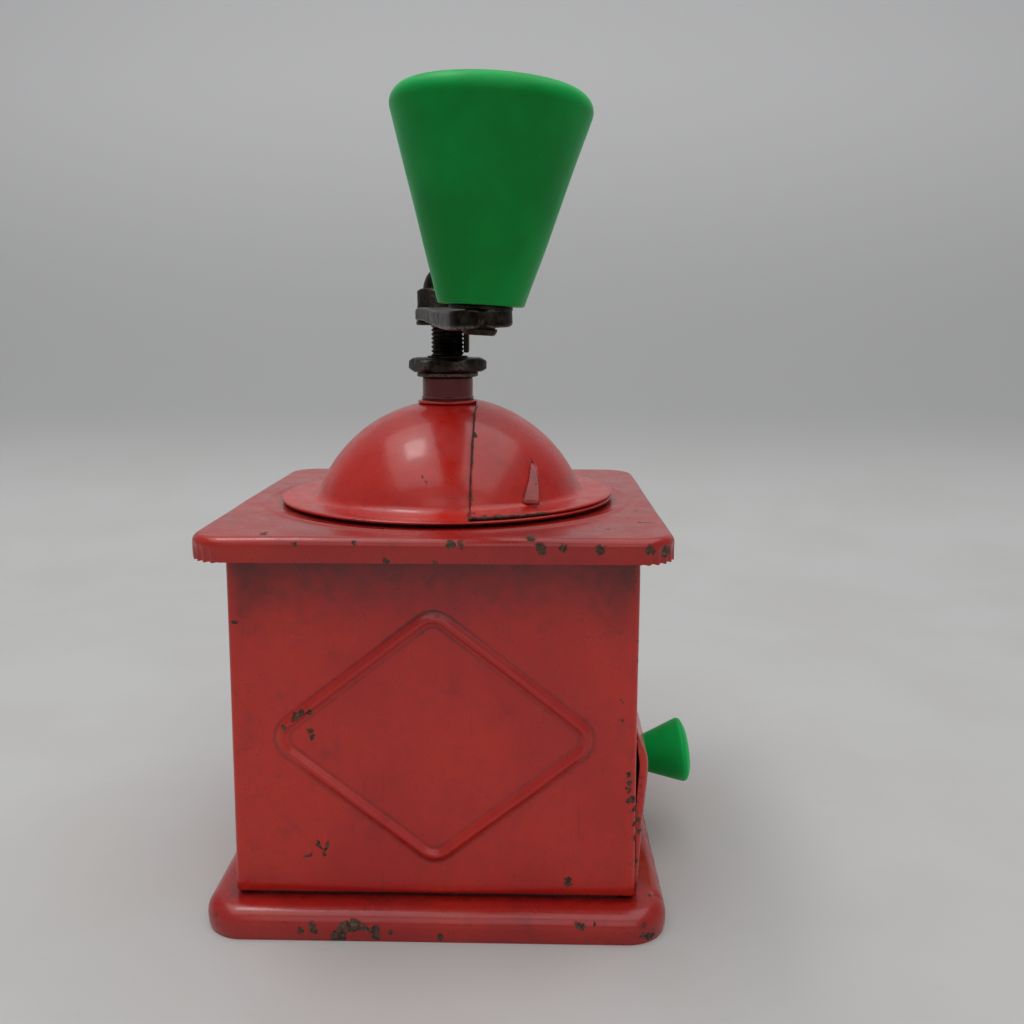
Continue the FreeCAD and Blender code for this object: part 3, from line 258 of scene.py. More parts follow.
class Finish:
    """A procedural material on one Principled shader, with short calls for its nodes."""

    def __init__(self, name):
        self.material = bpy.data.materials.new(name)
        self.material.use_nodes = True
        self.tree = self.material.node_tree
        self.shader = self.tree.nodes["Principled BSDF"]
        place = self.node("TexCoord").outputs["Object"]
        scale = self.node("VectorMath", operation="SCALE")
        self.tree.links.new(place, scale.inputs[0])
        scale.inputs["Scale"].default_value = 1 / MM
        self.place = scale.outputs[0]

    def node(self, kind, **settings):
        made = self.tree.nodes.new("ShaderNode" + kind)
        for key, setting in settings.items():
            setattr(made, key, setting)
        return made

    def feed(self, socket, source):
        if isinstance(source, bpy.types.NodeSocket):
            self.tree.links.new(source, socket)
        else:
            socket.default_value = source

    def calc(self, operation, *sources):
        made = self.node("Math", operation=operation)
        for socket, source in zip(made.inputs, sources):
            self.feed(socket, source)
        return made.outputs[0]

    def vector(self, operation, *sources):
        made = self.node("VectorMath", operation=operation)
        for socket, source in zip(made.inputs, sources):
            self.feed(socket, source)
        return made.outputs["Value"] if operation in ("LENGTH", "DISTANCE") else made.outputs[0]

    def stretched(self, *scales):
        """The place with its axes scaled, for marks that run one way."""
        return self.vector("MULTIPLY", self.place, Vector(scales))

    def noise(self, size, detail=3.0, rough=0.5, at=None, colour=False):
        made = self.node("TexNoise")
        self.feed(made.inputs["Vector"], at or self.place)
        made.inputs["Scale"].default_value = 1 / size
        made.inputs["Detail"].default_value = detail
        made.inputs["Roughness"].default_value = rough
        return made.outputs["Color" if colour else "Fac"]

    def cells(self, size, at=None):
        """Distance to the nearest of scattered points, and a random colour for each."""
        made = self.node("TexVoronoi")
        self.feed(made.inputs["Vector"], at or self.place)
        made.inputs["Scale"].default_value = 1 / size
        return made.outputs["Distance"], made.outputs["Color"]

    def ramp(self, source, low, high, to_low=0.0, to_high=1.0):
        made = self.node("MapRange", interpolation_type="SMOOTHSTEP")
        for socket, value in zip(made.inputs, (source, low, high, to_low, to_high)):
            self.feed(socket, value)
        return made.outputs[0]

    def mix(self, share, first, second):
        made = self.node("Mix", data_type="RGBA")
        self.feed(made.inputs["Factor"], share)
        self.feed(made.inputs[6], first)
        self.feed(made.inputs[7], second)
        return made.outputs[2]

    def attribute(self, name):
        return self.node("Attribute", attribute_name=name).outputs["Fac"]

    def bump(self, height, deep, under=None):
        """A bump of a height between 0 and 1, deep in millimetres."""
        made = self.node("Bump")
        made.inputs["Strength"].default_value = 1.0
        made.inputs["Distance"].default_value = deep * MM
        self.feed(made.inputs["Height"], height)
        if under:
            self.feed(made.inputs["Normal"], under)
        return made.outputs[0]

    def set(self, **sockets):
        for name, source in sockets.items():
            self.feed(self.shader.inputs[name.replace("_", " ").title()], source)
        return self


def colour(red, green, blue):
    """A linear colour from 0 to 255 screen values."""
    return (*[((c / 255 + 0.055) / 1.055) ** 2.4 for c in (red, green, blue)], 1.0)


RED = colour(178, 26, 20)
RED_WARM = colour(192, 34, 18)
RED_DULL = colour(154, 28, 26)
# dark red for painted shade
PAINTED_SHADE_RED = colour(66, 12, 12)
RUST = colour(84, 56, 42)
RUST_DARK = colour(34, 25, 21)
BARE_STEEL = colour(122, 108, 92)


def spot_scale(x, y):
    """How much each axis counts in a spot's size: on a wall, the depth counts less."""
    if abs(abs(x) - abs(y)) < 7:
        return Vector((1, 1, 1))
    return Vector((0.3, 1, 1)) if abs(x) > abs(y) else Vector((1, 0.3, 1))


def red_enamel(name, spots=(), chipping=1.0, shade=0.0):
    """Brushed on red enamel over steel, chipped at its edges and at a few places, each
    given as (x, y, z, size). Where the per-point value is below zero it paints shade in a dark red, and shade
    paints the same shade over the whole piece."""
    f = Finish(name)
    cloud = f.noise(26.0, 3.0)
    mottle = f.noise(2.2, 4.0, 0.6)
    paint = f.mix(f.ramp(cloud, 0.38, 0.66), RED, RED_WARM)
    paint = f.mix(f.ramp(mottle, 0.45, 0.8, 0.0, 0.45), paint, RED_DULL)
    grime = f.ramp(f.noise(9.0, 5.0, 0.7), 0.56, 0.74, 0.0, 0.35)
    paint = f.mix(grime, paint, colour(104, 24, 24))
    # painted shade over the whole piece, as much as shade asks
    paint = f.mix(shade, paint, PAINTED_SHADE_RED)
    painted_light_and_wear = f.attribute("wear_and_painted_light")
    # painted shade where the per-point value is below zero: under the lid, in creases and in gaps between parts
    painted_shade_mask = f.calc("ADD", painted_light_and_wear, f.ramp(f.noise(3.0, 4.0, 0.6), 0.3, 0.7, -0.1, 0.1))
    paint = f.mix(f.ramp(painted_shade_mask, -1.1, -0.1, 0.9, 0.0), paint, PAINTED_SHADE_RED)
    # chips: edge wear, scattered specks and the named spots, all with ragged outlines
    ragged = f.noise(1.6, 5.0, 0.65)
    edge = f.calc("ADD", f.calc("MULTIPLY", painted_light_and_wear, 0.62), ragged)
    chips = f.ramp(edge, 1.0 - 0.09 * chipping, 1.03 - 0.09 * chipping)
    distance, tint = f.cells(7.5, f.vector("ADD", f.place, f.noise(2.0, 2.0, colour=True)))
    chance = f.node("SeparateColor")
    f.feed(chance.inputs[0], tint)
    reach = f.ramp(chance.outputs[0], 0.7, 1.0, 0.0, 0.1 * chipping ** 3)
    specks = f.ramp(f.calc("SUBTRACT", reach, distance), 0.0, 0.012)
    chips = f.calc("MAXIMUM", chips, specks)
    torn = f.vector("SUBTRACT", f.noise(1.3, 4.0, 0.6, colour=True), Vector((0.5, 0.5, 0.5)))
    wandering = f.vector("MULTIPLY_ADD", torn, Vector((2.6, 2.6, 2.6)), f.place)
    for x, y, z, size in spots:
        scale = spot_scale(x, y)
        scaled = f.vector("MULTIPLY", wandering, scale)
        away = f.vector("DISTANCE", scaled, Vector((x, y, z)) * scale)
        chips = f.calc("MAXIMUM", chips, f.ramp(away, size, size + 0.12, 1.0, 0.0))
    # fine scratches, in two directions
    for scales in ((0.05, 0.05, 2.4), (1.6, 1.6, 0.06)):
        streak = f.noise(1.0, 2.0, 0.5, f.stretched(*scales))
        faint = f.ramp(streak, 0.715, 0.74, 0.0, 0.3)
        paint = f.mix(faint, paint, colour(92, 26, 24))
    metal = f.noise(0.8, 4.0, 0.7)
    bare = f.mix(f.ramp(metal, 0.36, 0.54), RUST_DARK, RUST)
    shine = f.ramp(metal, 0.56, 0.66)
    bare = f.mix(shine, bare, BARE_STEEL)
    gloss = f.ramp(f.noise(6.0, 4.0, 0.6), 0.3, 0.7, 0.24, 0.4)
    rough = f.calc("ADD", gloss, f.calc("MULTIPLY", chips, 0.4))
    peel = f.bump(f.noise(1.1, 2.0), 0.012)
    waves = f.bump(f.noise(7.0, 2.0), 0.05, peel)
    edge_step = f.bump(f.calc("SUBTRACT", 1.0, chips), 0.09, waves)
    f.set(base_color=f.mix(chips, paint, bare), roughness=rough, normal=edge_step)
    f.feed(f.shader.inputs["Metallic"], f.calc("MULTIPLY", f.calc("MULTIPLY", chips, shine), 0.8))
    f.feed(f.shader.inputs["Coat Weight"], f.ramp(chips, 0.0, 1.0, 0.35, 0.0))
    f.shader.inputs["Specular IOR Level"].default_value = 0.4
    f.shader.inputs["Coat Roughness"].default_value = 0.12
    return f.material


def green_plastic(name, deep=colour(0, 118, 42), pale=colour(0, 134, 54)):
    """Moulded polyethylene: waxy, a little cloudy, with handling marks, and a painted highlight where the
    per-point value is set.
    """
    f = Finish(name)
    cloud = f.noise(14.0, 3.0)
    tone = f.mix(f.ramp(cloud, 0.35, 0.65), deep, pale)
    tone = f.mix(f.ramp(f.noise(1.5, 5.0, 0.7), 0.6, 0.78, 0.0, 0.3), tone, colour(0, 92, 36))
    scuffs = f.ramp(f.noise(1.0, 3.0, 0.6, f.stretched(0.5, 0.5, 3.0)), 0.66, 0.7, 0.0, 0.1)
    tone = f.mix(scuffs, tone, colour(70, 170, 110))
    # painted highlight: a lighter green where the per-point value is set, on the knobs' crowns where the overhead
    # light falls
    painted_light_and_wear = f.calc("MULTIPLY", f.attribute("wear_and_painted_light"), f.ramp(f.noise(5.0, 3.0, 0.5), 0.3, 0.7, 0.7, 1.0))
    tone = f.mix(painted_light_and_wear, tone, colour(14, 186, 88))
    rough = f.ramp(f.noise(5.0, 4.0, 0.6), 0.3, 0.7, 0.32, 0.46)
    grain = f.bump(f.noise(0.5, 2.0), 0.006)
    waves = f.bump(f.noise(9.0, 2.0), 0.06, grain)
    f.set(base_color=tone, roughness=rough, normal=waves)
    f.shader.inputs["Subsurface Weight"].default_value = 0.12
    f.shader.inputs["Subsurface Radius"].default_value = (0.4, 1.0, 0.5)
    f.shader.inputs["Subsurface Scale"].default_value = 0.0015
    f.shader.inputs["Specular IOR Level"].default_value = 0.14
    f.shader.inputs["Sheen Weight"].default_value = 0.3
    f.shader.inputs["Sheen Roughness"].default_value = 0.35
    f.shader.inputs["Sheen Tint"].default_value = (0.12, 1.0, 0.4, 1.0)
    return f.material


def metal(name, dark, light, rust, rusting, roughness, pits, grain=(1.0, 1.0, 1.0)):
    """Bare or plated metal with stains, rust in patches, pits and rubbed edges."""
    f = Finish(name)
    stain = f.noise(3.2, 5.0, 0.65)
    tone = f.mix(f.ramp(stain, 0.38, 0.66), dark, light)
    brushed = f.noise(0.7, 4.0, 0.6, f.stretched(*grain))
    tone = f.mix(f.ramp(brushed, 0.4, 0.7, 0.0, 0.4), tone, dark)
    patches = f.noise(2.4, 6.0, 0.7)
    rusty = f.ramp(patches, 0.68 - 0.3 * rusting, 0.8 - 0.3 * rusting)
    red = f.mix(f.ramp(f.noise(0.6, 3.0), 0.35, 0.65), rust, RUST_DARK)
    rubbed = f.calc("MULTIPLY", f.attribute("wear_and_painted_light"), f.ramp(brushed, 0.35, 0.55))
    tone = f.mix(rusty, tone, red)
    tone = f.mix(f.calc("MULTIPLY", rubbed, 0.7), tone, colour(132, 126, 118))
    stained = f.ramp(stain, 0.3, 0.7, roughness, roughness + 0.2)
    rough = f.calc("ADD", stained, f.calc("MULTIPLY", rusty, 0.25))
    f.set(base_color=tone, roughness=rough)
    f.set(metallic=f.calc("SUBTRACT", 1.0, f.calc("MULTIPLY", rusty, 0.75)))
    fine = f.bump(brushed, 0.01)
    f.set(normal=f.bump(f.noise(0.9, 4.0, 0.6), pits, fine))
    return f.material


def make_finishes():
    """One finish for each material slot of the record."""
    return {
        "red_enamel": red_enamel("red enamel"),
        "green_plastic": green_plastic("green plastic"),
        "worn_steel": metal(
            "worn steel", colour(26, 22, 19), colour(64, 56, 48), colour(70, 38, 26), 0.5, 0.36, 0.05
        ),
        "cast_iron": metal(
            "cast iron", colour(52, 50, 48), colour(84, 80, 76), colour(96, 58, 38), 0.3, 0.55, 0.09
        ),
        "bright_steel": metal(
            "bright steel", colour(120, 118, 112), colour(170, 168, 160), colour(110, 74, 50), 0.12,
            0.28, 0.02,
        ),
        "tinplate": metal(
            "tinplate", colour(138, 136, 130), colour(184, 182, 174), colour(120, 82, 54), 0.15, 0.3,
            0.012, (0.15, 1.0, 1.0),
        ),
    }


finishes = make_finishes()

for part in frame["record"]["subparts"]:
    node = frame["nodes"][part["node"]]
    node.data.materials.clear()
    node.data.materials.append(finishes[part["material_slot"]])


def enamelled(name, spots=(), chipping=1.0, shade=0.0):
    """The enamel of a sheet piece, and the tinned face on its inside."""
    return [red_enamel(name, spots, chipping, shade), finishes["tinplate"]]


def scratch(start, end, size):
    """Spots in a row along a scratch."""
    steps = max(2, round((end - start).length / size))
    return [(*start.lerp(end, t), size * 0.7) for t in spread(0, 1, steps)]


# ---------------------------------------------------------------- box


BASE_ROLL = 3.6
BASE_CORNER = 9.0
PLEAT_DEEP = 0.7


def inset_ring(half, outer_half, corner, level):
    """A ring inside a square with round corners, whose corners shrink as it does."""
    return square_ring(half, min(half, max(1.5, corner - (outer_half - half))), level)


def base_pan():
    """The pressed pan that the box stands on, with a fold where one corner begins."""
    high = span("base_pan")[1]
    half, top = high.x - DENT_DEPTH, high.z
    inner = half - SHEET
    path = rounded(
        [
            (0, top, 0), (half, top, BASE_ROLL), (half, 1.3, 2.0), (half - 0.3, 0, 0),
            (inner - 0.3, 0, 0), (inner, 1.3, 2.0), (inner, top - SHEET, BASE_ROLL - SHEET),
            (0, top - SHEET, 0),
        ]
    )
    rows = [inset_ring(p.x, half, BASE_CORNER, p.y) for p in path]
    for row in rows:
        row[0].z -= PLEAT_DEEP * smooth(row[0].x, 43.6, 44.6) * smooth(row[0].z, 1.0, 4.0)
    shape = dented(grid(rows), DENT_DEPTH, DENT_SIZE, 1, lambda p: smooth(p.z, 0.0, 3.0))

    def wear_and_painted_light(p):
        corner = smooth(abs(p.x) + abs(p.y), 88.0, 94.0)
        fold = smooth(-(p - Vector((46.5, -40.4, 6.4))).length, -3.5, -1.0)
        # painted shade: darker over the flat top and round the foot of the box
        painted_shade = 0.15 * smooth(p.z, 4.5, 6.2) + 0.7 * smooth(-max(abs(p.x), abs(p.y)), -45.4, -43.6)
        return max(0.5 * corner, 0.55 * smooth(-p.z, -1.8, -0.3), 0.8 * fold) - painted_shade

    front = -half
    spots = [
        (-25.4, front, 3.6, 0.7), (-24.8, front, 2.2, 0.8), (-27.8, front, 2.3, 0.5),
        (-20.5, front, 1.5, 0.9), (-18.6, front, 2.8, 1.3), (-16.4, front, 3.4, 1.3),
        (-14.2, front, 2.9, 0.8), (-19.5, front, 0.8, 1.3), (-12.0, front, 2.6, 1.0),
        (-11.9, front, 1.4, 0.9), (-9.0, front, 2.2, 0.5), (1.8, front, 1.4, 0.7),
        (30.8, front, 4.0, 0.9), (33.6, front, 4.6, 0.4), (44.3, front, 4.4, 1.0),
        (44.0, front, 2.0, 0.9), (45.8, -48.6, 1.4, 1.2), (43.6, front, 6.0, 1.1),
    ]
    # the last enamel number is painted shade over the whole base
    piece(
        "pressed_base", shape, "housing", ["base_pan"],
        enamelled("base enamel", spots, 1.0, 0.3), wear_and_painted_light,
    )


PLATE_ROLL = 1.8
PLATE_CORNER = 8.0
RIDGE_AT = 43.6
RIDGE_WIDE = 2.6
RIDGE_RISE = 0.22
ROUND_TO = 46.0
PLEATS = 6
PLEAT_RISE = 0.5


def top_plate():
    """The lid: a raised ring round the dome's brim, a rolled edge, and a skirt whose
    corners are gathered into pleats."""
    low, high = span("top_plate")
    half, top = high.x - DENT_DEPTH, high.z - 2 * RIDGE_RISE
    bottom, inner = low.z, high.x - DENT_DEPTH - SHEET
    hole = 20.5
    edge = half - PLATE_ROLL
    compass = [p.normalized() for p in square_ring(half, PLATE_CORNER, 0)]

    def disc_ring(radius, level):
        rise = RIDGE_RISE * (1 + math.cos(TURN * min(0.5, abs(radius - RIDGE_AT) / RIDGE_WIDE)))
        return [Vector((c.x * radius, c.y * radius, level + rise)) for c in compass]

    def between(first, last):
        return [[a.lerp(b, t) for a, b in zip(first, last)] for t in spread(0, 1, 5)[1:-1]]

    outer_disc = [disc_ring(r, top) for r in spread(hole, ROUND_TO, 52)]
    inner_disc = [disc_ring(r, top - SHEET) for r in spread(ROUND_TO, hole, 26)]
    skirt = rounded(
        [(edge, top, 0), (half, top, PLATE_ROLL), (half, bottom + 0.3, 0)], longest=0.8
    )
    lining = rounded(
        [(inner, bottom + 0.3, 0), (inner, top - SHEET, 1.1), (edge - 1, top - SHEET, 0)], longest=0.8
    )
    outside = [inset_ring(p.x, half, PLATE_CORNER, p.y) for p in skirt]
    inside = [inset_ring(p.x, half, PLATE_CORNER, p.y) for p in lining]
    rows = outer_disc + between(outer_disc[-1], outside[0]) + outside
    rows += inside + between(inside[-1], inner_disc[0]) + inner_disc
    for row in rows:
        for k, point in enumerate(row):
            share = corner_share(k)
            if share is None or max(abs(point.x), abs(point.y)) < edge - 8:
                continue
            gather = smooth(-point.z, -(top - 1.2), -(bottom + 1.5)) * math.sin(math.pi * share) ** 0.5
            wave = 0.5 - 0.5 * math.cos(TURN * PLEATS * share)
            point -= Vector((point.x, point.y, 0)).normalized() * PLEAT_RISE * gather * wave
            point.z -= 0.3 * gather * (1 - wave)
    shape = grid(rows, looped=True)
    shape = dented(shape, DENT_DEPTH, DENT_SIZE, 2, lambda p: smooth(p.z, bottom, bottom + 2))

    def wear_and_painted_light(p):
        corner = smooth(abs(p.x) + abs(p.y), 87.0, 93.5)
        rim = smooth(max(abs(p.x), abs(p.y)), half - 2.0, half - 0.5)
        lower = smooth(-p.z, -(bottom + 1.2), -bottom)
        # painted shade: darker down the rolled edge and skirt, and a painted shadow in a ring round the dome's
        # brim
        painted_shade = 0.22 * smooth(-p.z, 1 - top, 2.2 - top) + 0.5 * smooth(-math.hypot(p.x, p.y), -42.5, -40.6)
        return max(0.5 * corner * rim, 0.36 * rim, 0.5 * lower) - painted_shade

    front = -half
    spots = [
        (4.2, front, 85.0, 0.9), (6.2, front, 85.1, 0.6), (22.2, front, 84.3, 1.1), (26.6, front, 84.4, 0.8),
        (34.0, front, 84.3, 1.0), (43.8, -48.6, 84.0, 1.0), (47.0, -46.6, 83.4, 1.3),
        (20.2, -48.6, 86.2, 0.7), (-27.0, front, 84.8, 0.5), (-15.0, front, 85.4, 0.45),
        (-8.6, front, 81.6, 0.6), (1.0, front, 81.4, 0.4),
        (44.6, -32.0, top, 0.45), (36.5, -39.0, top, 0.4), (-34.0, -45.6, top, 0.5),
    ]
    # the last enamel number is painted shade over the whole lid
    piece(
        "pressed_lid", shape, "housing", ["top_plate"],
        enamelled("lid enamel", spots, 1.0, 0.28), wear_and_painted_light,
    )


BEAD_WIDE = 3.3
BEAD_RISE = 0.9
BEAD_CORNER = 4.0
BEAD_STEPS = 18
BOX_HALF = 42.75
BOX_CORNER = 1.2
BOX_GAP = 0.8
# Half width, half height and level of the rhombus on a plain side and over the drawer
SIDE_RHOMBUS = (34.6, 27.0, 41.8)
DRAWER_RHOMBUS = (30.5, 14.0, 61.2)
LEFT_SWELL = 1.009
OPENING_HALF = 38.0
OPENING_HIGH = 38.6
FACE_RISE = 0.12


def rhombus_point(wide, tall, radius, quarter, share):
    """A point on a rhombus with round corners, by its quarter and its share along it.
    radius is the corners', and share runs by the length of the bead's middle line."""
    lean = math.atan2(wide, tall)
    core_wide = wide - BEAD_CORNER / math.cos(lean)
    core_tall = tall - BEAD_CORNER / math.sin(lean)
    run = math.hypot(core_wide, core_tall)
    parts = (BEAD_CORNER * lean, run, BEAD_CORNER * (math.pi / 2 - lean))
    along = share * sum(parts)
    if along < parts[0]:
        angle, foot = along / BEAD_CORNER, Vector((core_wide, 0))
    elif along < parts[0] + run:
        angle, foot = lean, Vector((core_wide, 0)).lerp(Vector((0, core_tall)), (along - parts[0]) / run)
    else:
        angle, foot = lean + (along - parts[0] - run) / BEAD_CORNER, Vector((0, core_tall))
    point = foot + Vector((math.cos(angle), math.sin(angle))) * radius
    return Vector(((1, -1, -1, 1)[quarter] * point.x, (1, 1, -1, -1)[quarter] * point.y))


def face_shape(half, rows, wide, tall, level):
    """One face of the box as rings: a raised rhombic bead, and the flat round it out to a
    rectangle. Points are (across, up, out)."""
    columns = spread(-half, half, 32)
    middle = len(rows) // 2
    right = [Vector((half, z)) for z in rows]
    left = [Vector((-half, z)) for z in rows]
    upper = [Vector((x, rows[-1])) for x in columns]
    lower = [Vector((x, rows[0])) for x in columns]
    centre = len(columns) // 2
    quarters = [
        right[middle:-1] + upper[:centre:-1],
        upper[centre:0:-1] + left[:middle:-1],
        left[middle:0:-1] + lower[:centre],
        lower[centre:-1] + right[:middle],
    ]
    rim, rhombus = [], []
    for quarter, points in enumerate(quarters):
        rim += points
        for k in range(len(points)):
            share = k / len(points)
            rhombus.append((quarter, 1 - share if quarter % 2 else share))

    def bead_ring(offset):
        height = smooth(1 - abs(offset) / (BEAD_WIDE / 2), 0.0, 1.0) * BEAD_RISE
        ring = []
        for quarter, share in rhombus:
            p = rhombus_point(wide, tall, BEAD_CORNER + offset, quarter, share)
            inner = FACE_RISE if offset < 0 else 0.0
            ring.append(Vector((p.x, level + p.y, max(height, inner))))
        return ring

    reach = BEAD_WIDE / 2 + 0.8
    bead = [bead_ring(d) for d in spread(-reach, reach, BEAD_STEPS)]
    heart = Vector((0, level, FACE_RISE))
    inside = [[heart.lerp(p, t) for p in bead[0]] for t in spread(0, 1, 7)[:-1]]
    border = [Vector((p.x, p.y, 0)) for p in rim]
    outside = [[a.lerp(b, t) for a, b in zip(bead[-1], border)] for t in spread(0, 1, 10)[1:]]
    return grid(inside + bead + outside)


def off_bead(across, up, wide, tall):
    """How far a point of a face is outside the middle line of its rhombic bead."""
    lean = math.atan2(wide, tall)
    start = Vector((wide - BEAD_CORNER / math.cos(lean), 0))
    side = Vector((0, tall - BEAD_CORNER / math.sin(lean))) - start
    reach = Vector((abs(across), abs(up))) - start
    share = min(1.0, max(0.0, reach.dot(side) / side.length_squared))
    outward = reach.x * math.cos(lean) + reach.y * math.sin(lean)
    return math.copysign((reach - side * share).length, outward) - BEAD_CORNER


def body_shell():
    """The sheet box: three faces with a large rhombus, the drawer's with a small one over
    its opening, round corners, and a flange turned in under the lid."""
    high = span("body_shell")[1]
    bottom = span("base_pan")[1].z + BOX_GAP
    top = high.z
    half = BOX_HALF
    flat = half - BOX_CORNER
    rows = spread(bottom, OPENING_HIGH, 14) + spread(OPENING_HIGH, top, 20)[1:]
    upper_rows = rows[14:]

    def stand(shape, side):
        """Stands a face shape on one side of the box; side counts quarter turns from +X."""
        turn = Matrix.Rotation(side * math.pi / 2, 3, "Z")
        points, faces = shape
        return [turn @ Vector((half + p.z, p.x, p.y)) for p in points], faces

    shapes = [stand(face_shape(OPENING_HALF, upper_rows, *DRAWER_RHOMBUS), 0)]
    shapes += [stand(face_shape(flat, rows, *SIDE_RHOMBUS), side) for side in (1, 2, 3)]
    for sign in (-1, 1):
        strip = [[Vector((half, sign * y, z)) for y in spread(OPENING_HALF, flat, 2)] for z in rows]
        shapes.append(grid(strip, around=False))
    for corner in range(4):
        turn = Matrix.Rotation(corner * math.pi / 2, 3, "Z")
        arc = [
            Vector((flat + BOX_CORNER * math.cos(a), flat + BOX_CORNER * math.sin(a), 0))
            for a in spread(0, math.pi / 2, 6)
        ]
        shapes.append(grid([[turn @ p + Vector((0, 0, z)) for p in arc] for z in rows], around=False))
    points, faces = joined(*shapes)
    for p in points:
        p.x *= LEFT_SWELL if p.x < 0 else 1

    def free(p):
        return smooth(p.z, bottom, bottom + 8) * smooth(-p.z, -top, -top + 6) * 0.9

    shape = dented((points, faces), DENT_DEPTH * 1.6, 26.0, 3, free)

    def wear_and_painted_light(p):
        corner = smooth(abs(p.x) + abs(p.y), 2 * flat + 0.8, 2 * flat + 2.2)
        opening = smooth(p.x, half - 1.0, half) * smooth(abs(p.y), OPENING_HALF - 0.2, OPENING_HALF)
        rim = 0.5 * smooth(-p.z, -(bottom + 1.4), -bottom)
        over_drawer = p.x > half - 1
        wide, tall, level = DRAWER_RHOMBUS if over_drawer else SIDE_RHOMBUS
        across = p.x if abs(p.y) > half - 1 and not over_drawer else p.y
        crease = off_bead(across, p.z - level, wide, tall)
        # painted shade: in the creases beside the bead, in a band under the lid, towards the corners and towards
        # the bottom
        painted_shade = 0.5 * smooth(-abs(abs(crease) - BEAD_WIDE / 2), -0.7, -0.1)
        painted_shade += 0.68 * smooth(p.z, 58.0, 80.0) + 0.2 * smooth(min(abs(p.x), abs(p.y)), 28.0, 41.0)
        painted_shade += 0.2 * smooth(-p.z, -22.0, -8.0)
        return max(0.52 * corner, 0.72 * opening * smooth(-p.z, -36, -30), rim) - painted_shade

    front = -half
    spots = [
        (-27.6, front, 47.6, 0.75), (-28.8, front, 46.8, 0.65), (-26.2, front, 47.8, 0.6),
        (-29.4, front, 45.9, 0.5), (-31.6, front, 44.2, 0.65), (-26.0, front, 43.4, 0.5),
        (-25.8, front, 42.0, 0.5), (28.5, front, 10.1, 0.9),
        (41.0, front, 34.3, 0.5), (41.3, front, 32.4, 0.6), (41.0, front, 30.8, 0.6),
        (41.5, front, 28.8, 0.8), (42.2, -42.0, 26.5, 0.8), (42.3, -41.9, 23.0, 0.8),
        (42.3, -41.9, 20.0, 0.7), (42.4, -41.8, 59.0, 0.7), (42.4, -41.8, 63.0, 0.6),
        (-41.6, front, 66.8, 0.5), (39.2, front, 50.4, 0.3), (39.5, front, 46.0, 0.25),
    ]
    spots += scratch(Vector((-28.2, front, 15.0)), Vector((-26.6, front, 15.6)), 0.4)
    spots += scratch(Vector((-25.2, front, 18.4)), Vector((-24.4, front, 17.0)), 0.36)
    spots += scratch(Vector((-23.0, front, 18.2)), Vector((-24.0, front, 15.2)), 0.36)
    box = piece(
        "sheet_box", shape, "housing", ["body_shell"],
        enamelled("box enamel", spots, 0.75), wear_and_painted_light, sheet=SHEET,
    )
    flange = bmesh.new()
    flange.from_mesh(box.data)
    rim = [
        e for e in flange.edges
        if e.is_boundary and all(v.co.z > (top - 0.01) * MM for v in e.verts)
    ]
    turned_in = bmesh.ops.extrude_edge_only(flange, edges=rim)["geom"]
    shrink = 1 - 5.0 / half
    for v in turned_in:
        if isinstance(v, bmesh.types.BMVert):
            v.co.x *= shrink
            v.co.y *= shrink
    flange.to_mesh(box.data)
    flange.free()


# ---------------------------------------------------------------- hopper


DOME_RADIUS = 34.0
DOME_CENTRE = 76.0
DOME_FILLET = 3.0
WINDOW_NEAR = 10.5
WINDOW_FAR = 27.5
WINDOW_EDGE = 8.6
WINDOW_STEPS = 72
DOME_STEPS = 180
DOOR_EDGE = 7.2
DOOR_RING = 7.35
DOOR_LIFT = 0.9
DOOR_STEPS = 200


def dome_profile(radius, fillet, brim, level, hole, stops=()):
    """(radius, level) points from a dome's hole down its sphere, round its crease and out
    along its brim. stops are radii that a point must have."""
    bend_height = level + fillet - DOME_CENTRE
    bend_across = math.sqrt((radius + fillet) ** 2 - bend_height ** 2)
    end = math.asin(bend_height / (radius + fillet))
    marks = sorted({math.acos(r / radius) for r in (hole, *stops)} | {end}, reverse=True)
    points = []
    for high, low in zip(marks, marks[1:]):
        steps = max(2, round((high - low) * radius / 1.3))
        points += [
            (radius * math.cos(a), DOME_CENTRE + radius * math.sin(a)) for a in spread(high, low, steps)[:-1]
        ]
    for a in spread(end, math.pi / 2, 7):
        points.append((bend_across - fillet * math.cos(a), level + fillet - fillet * math.sin(a)))
    points += [(r, level) for r in spread(bend_across, brim, 5)[1:]]
    return points


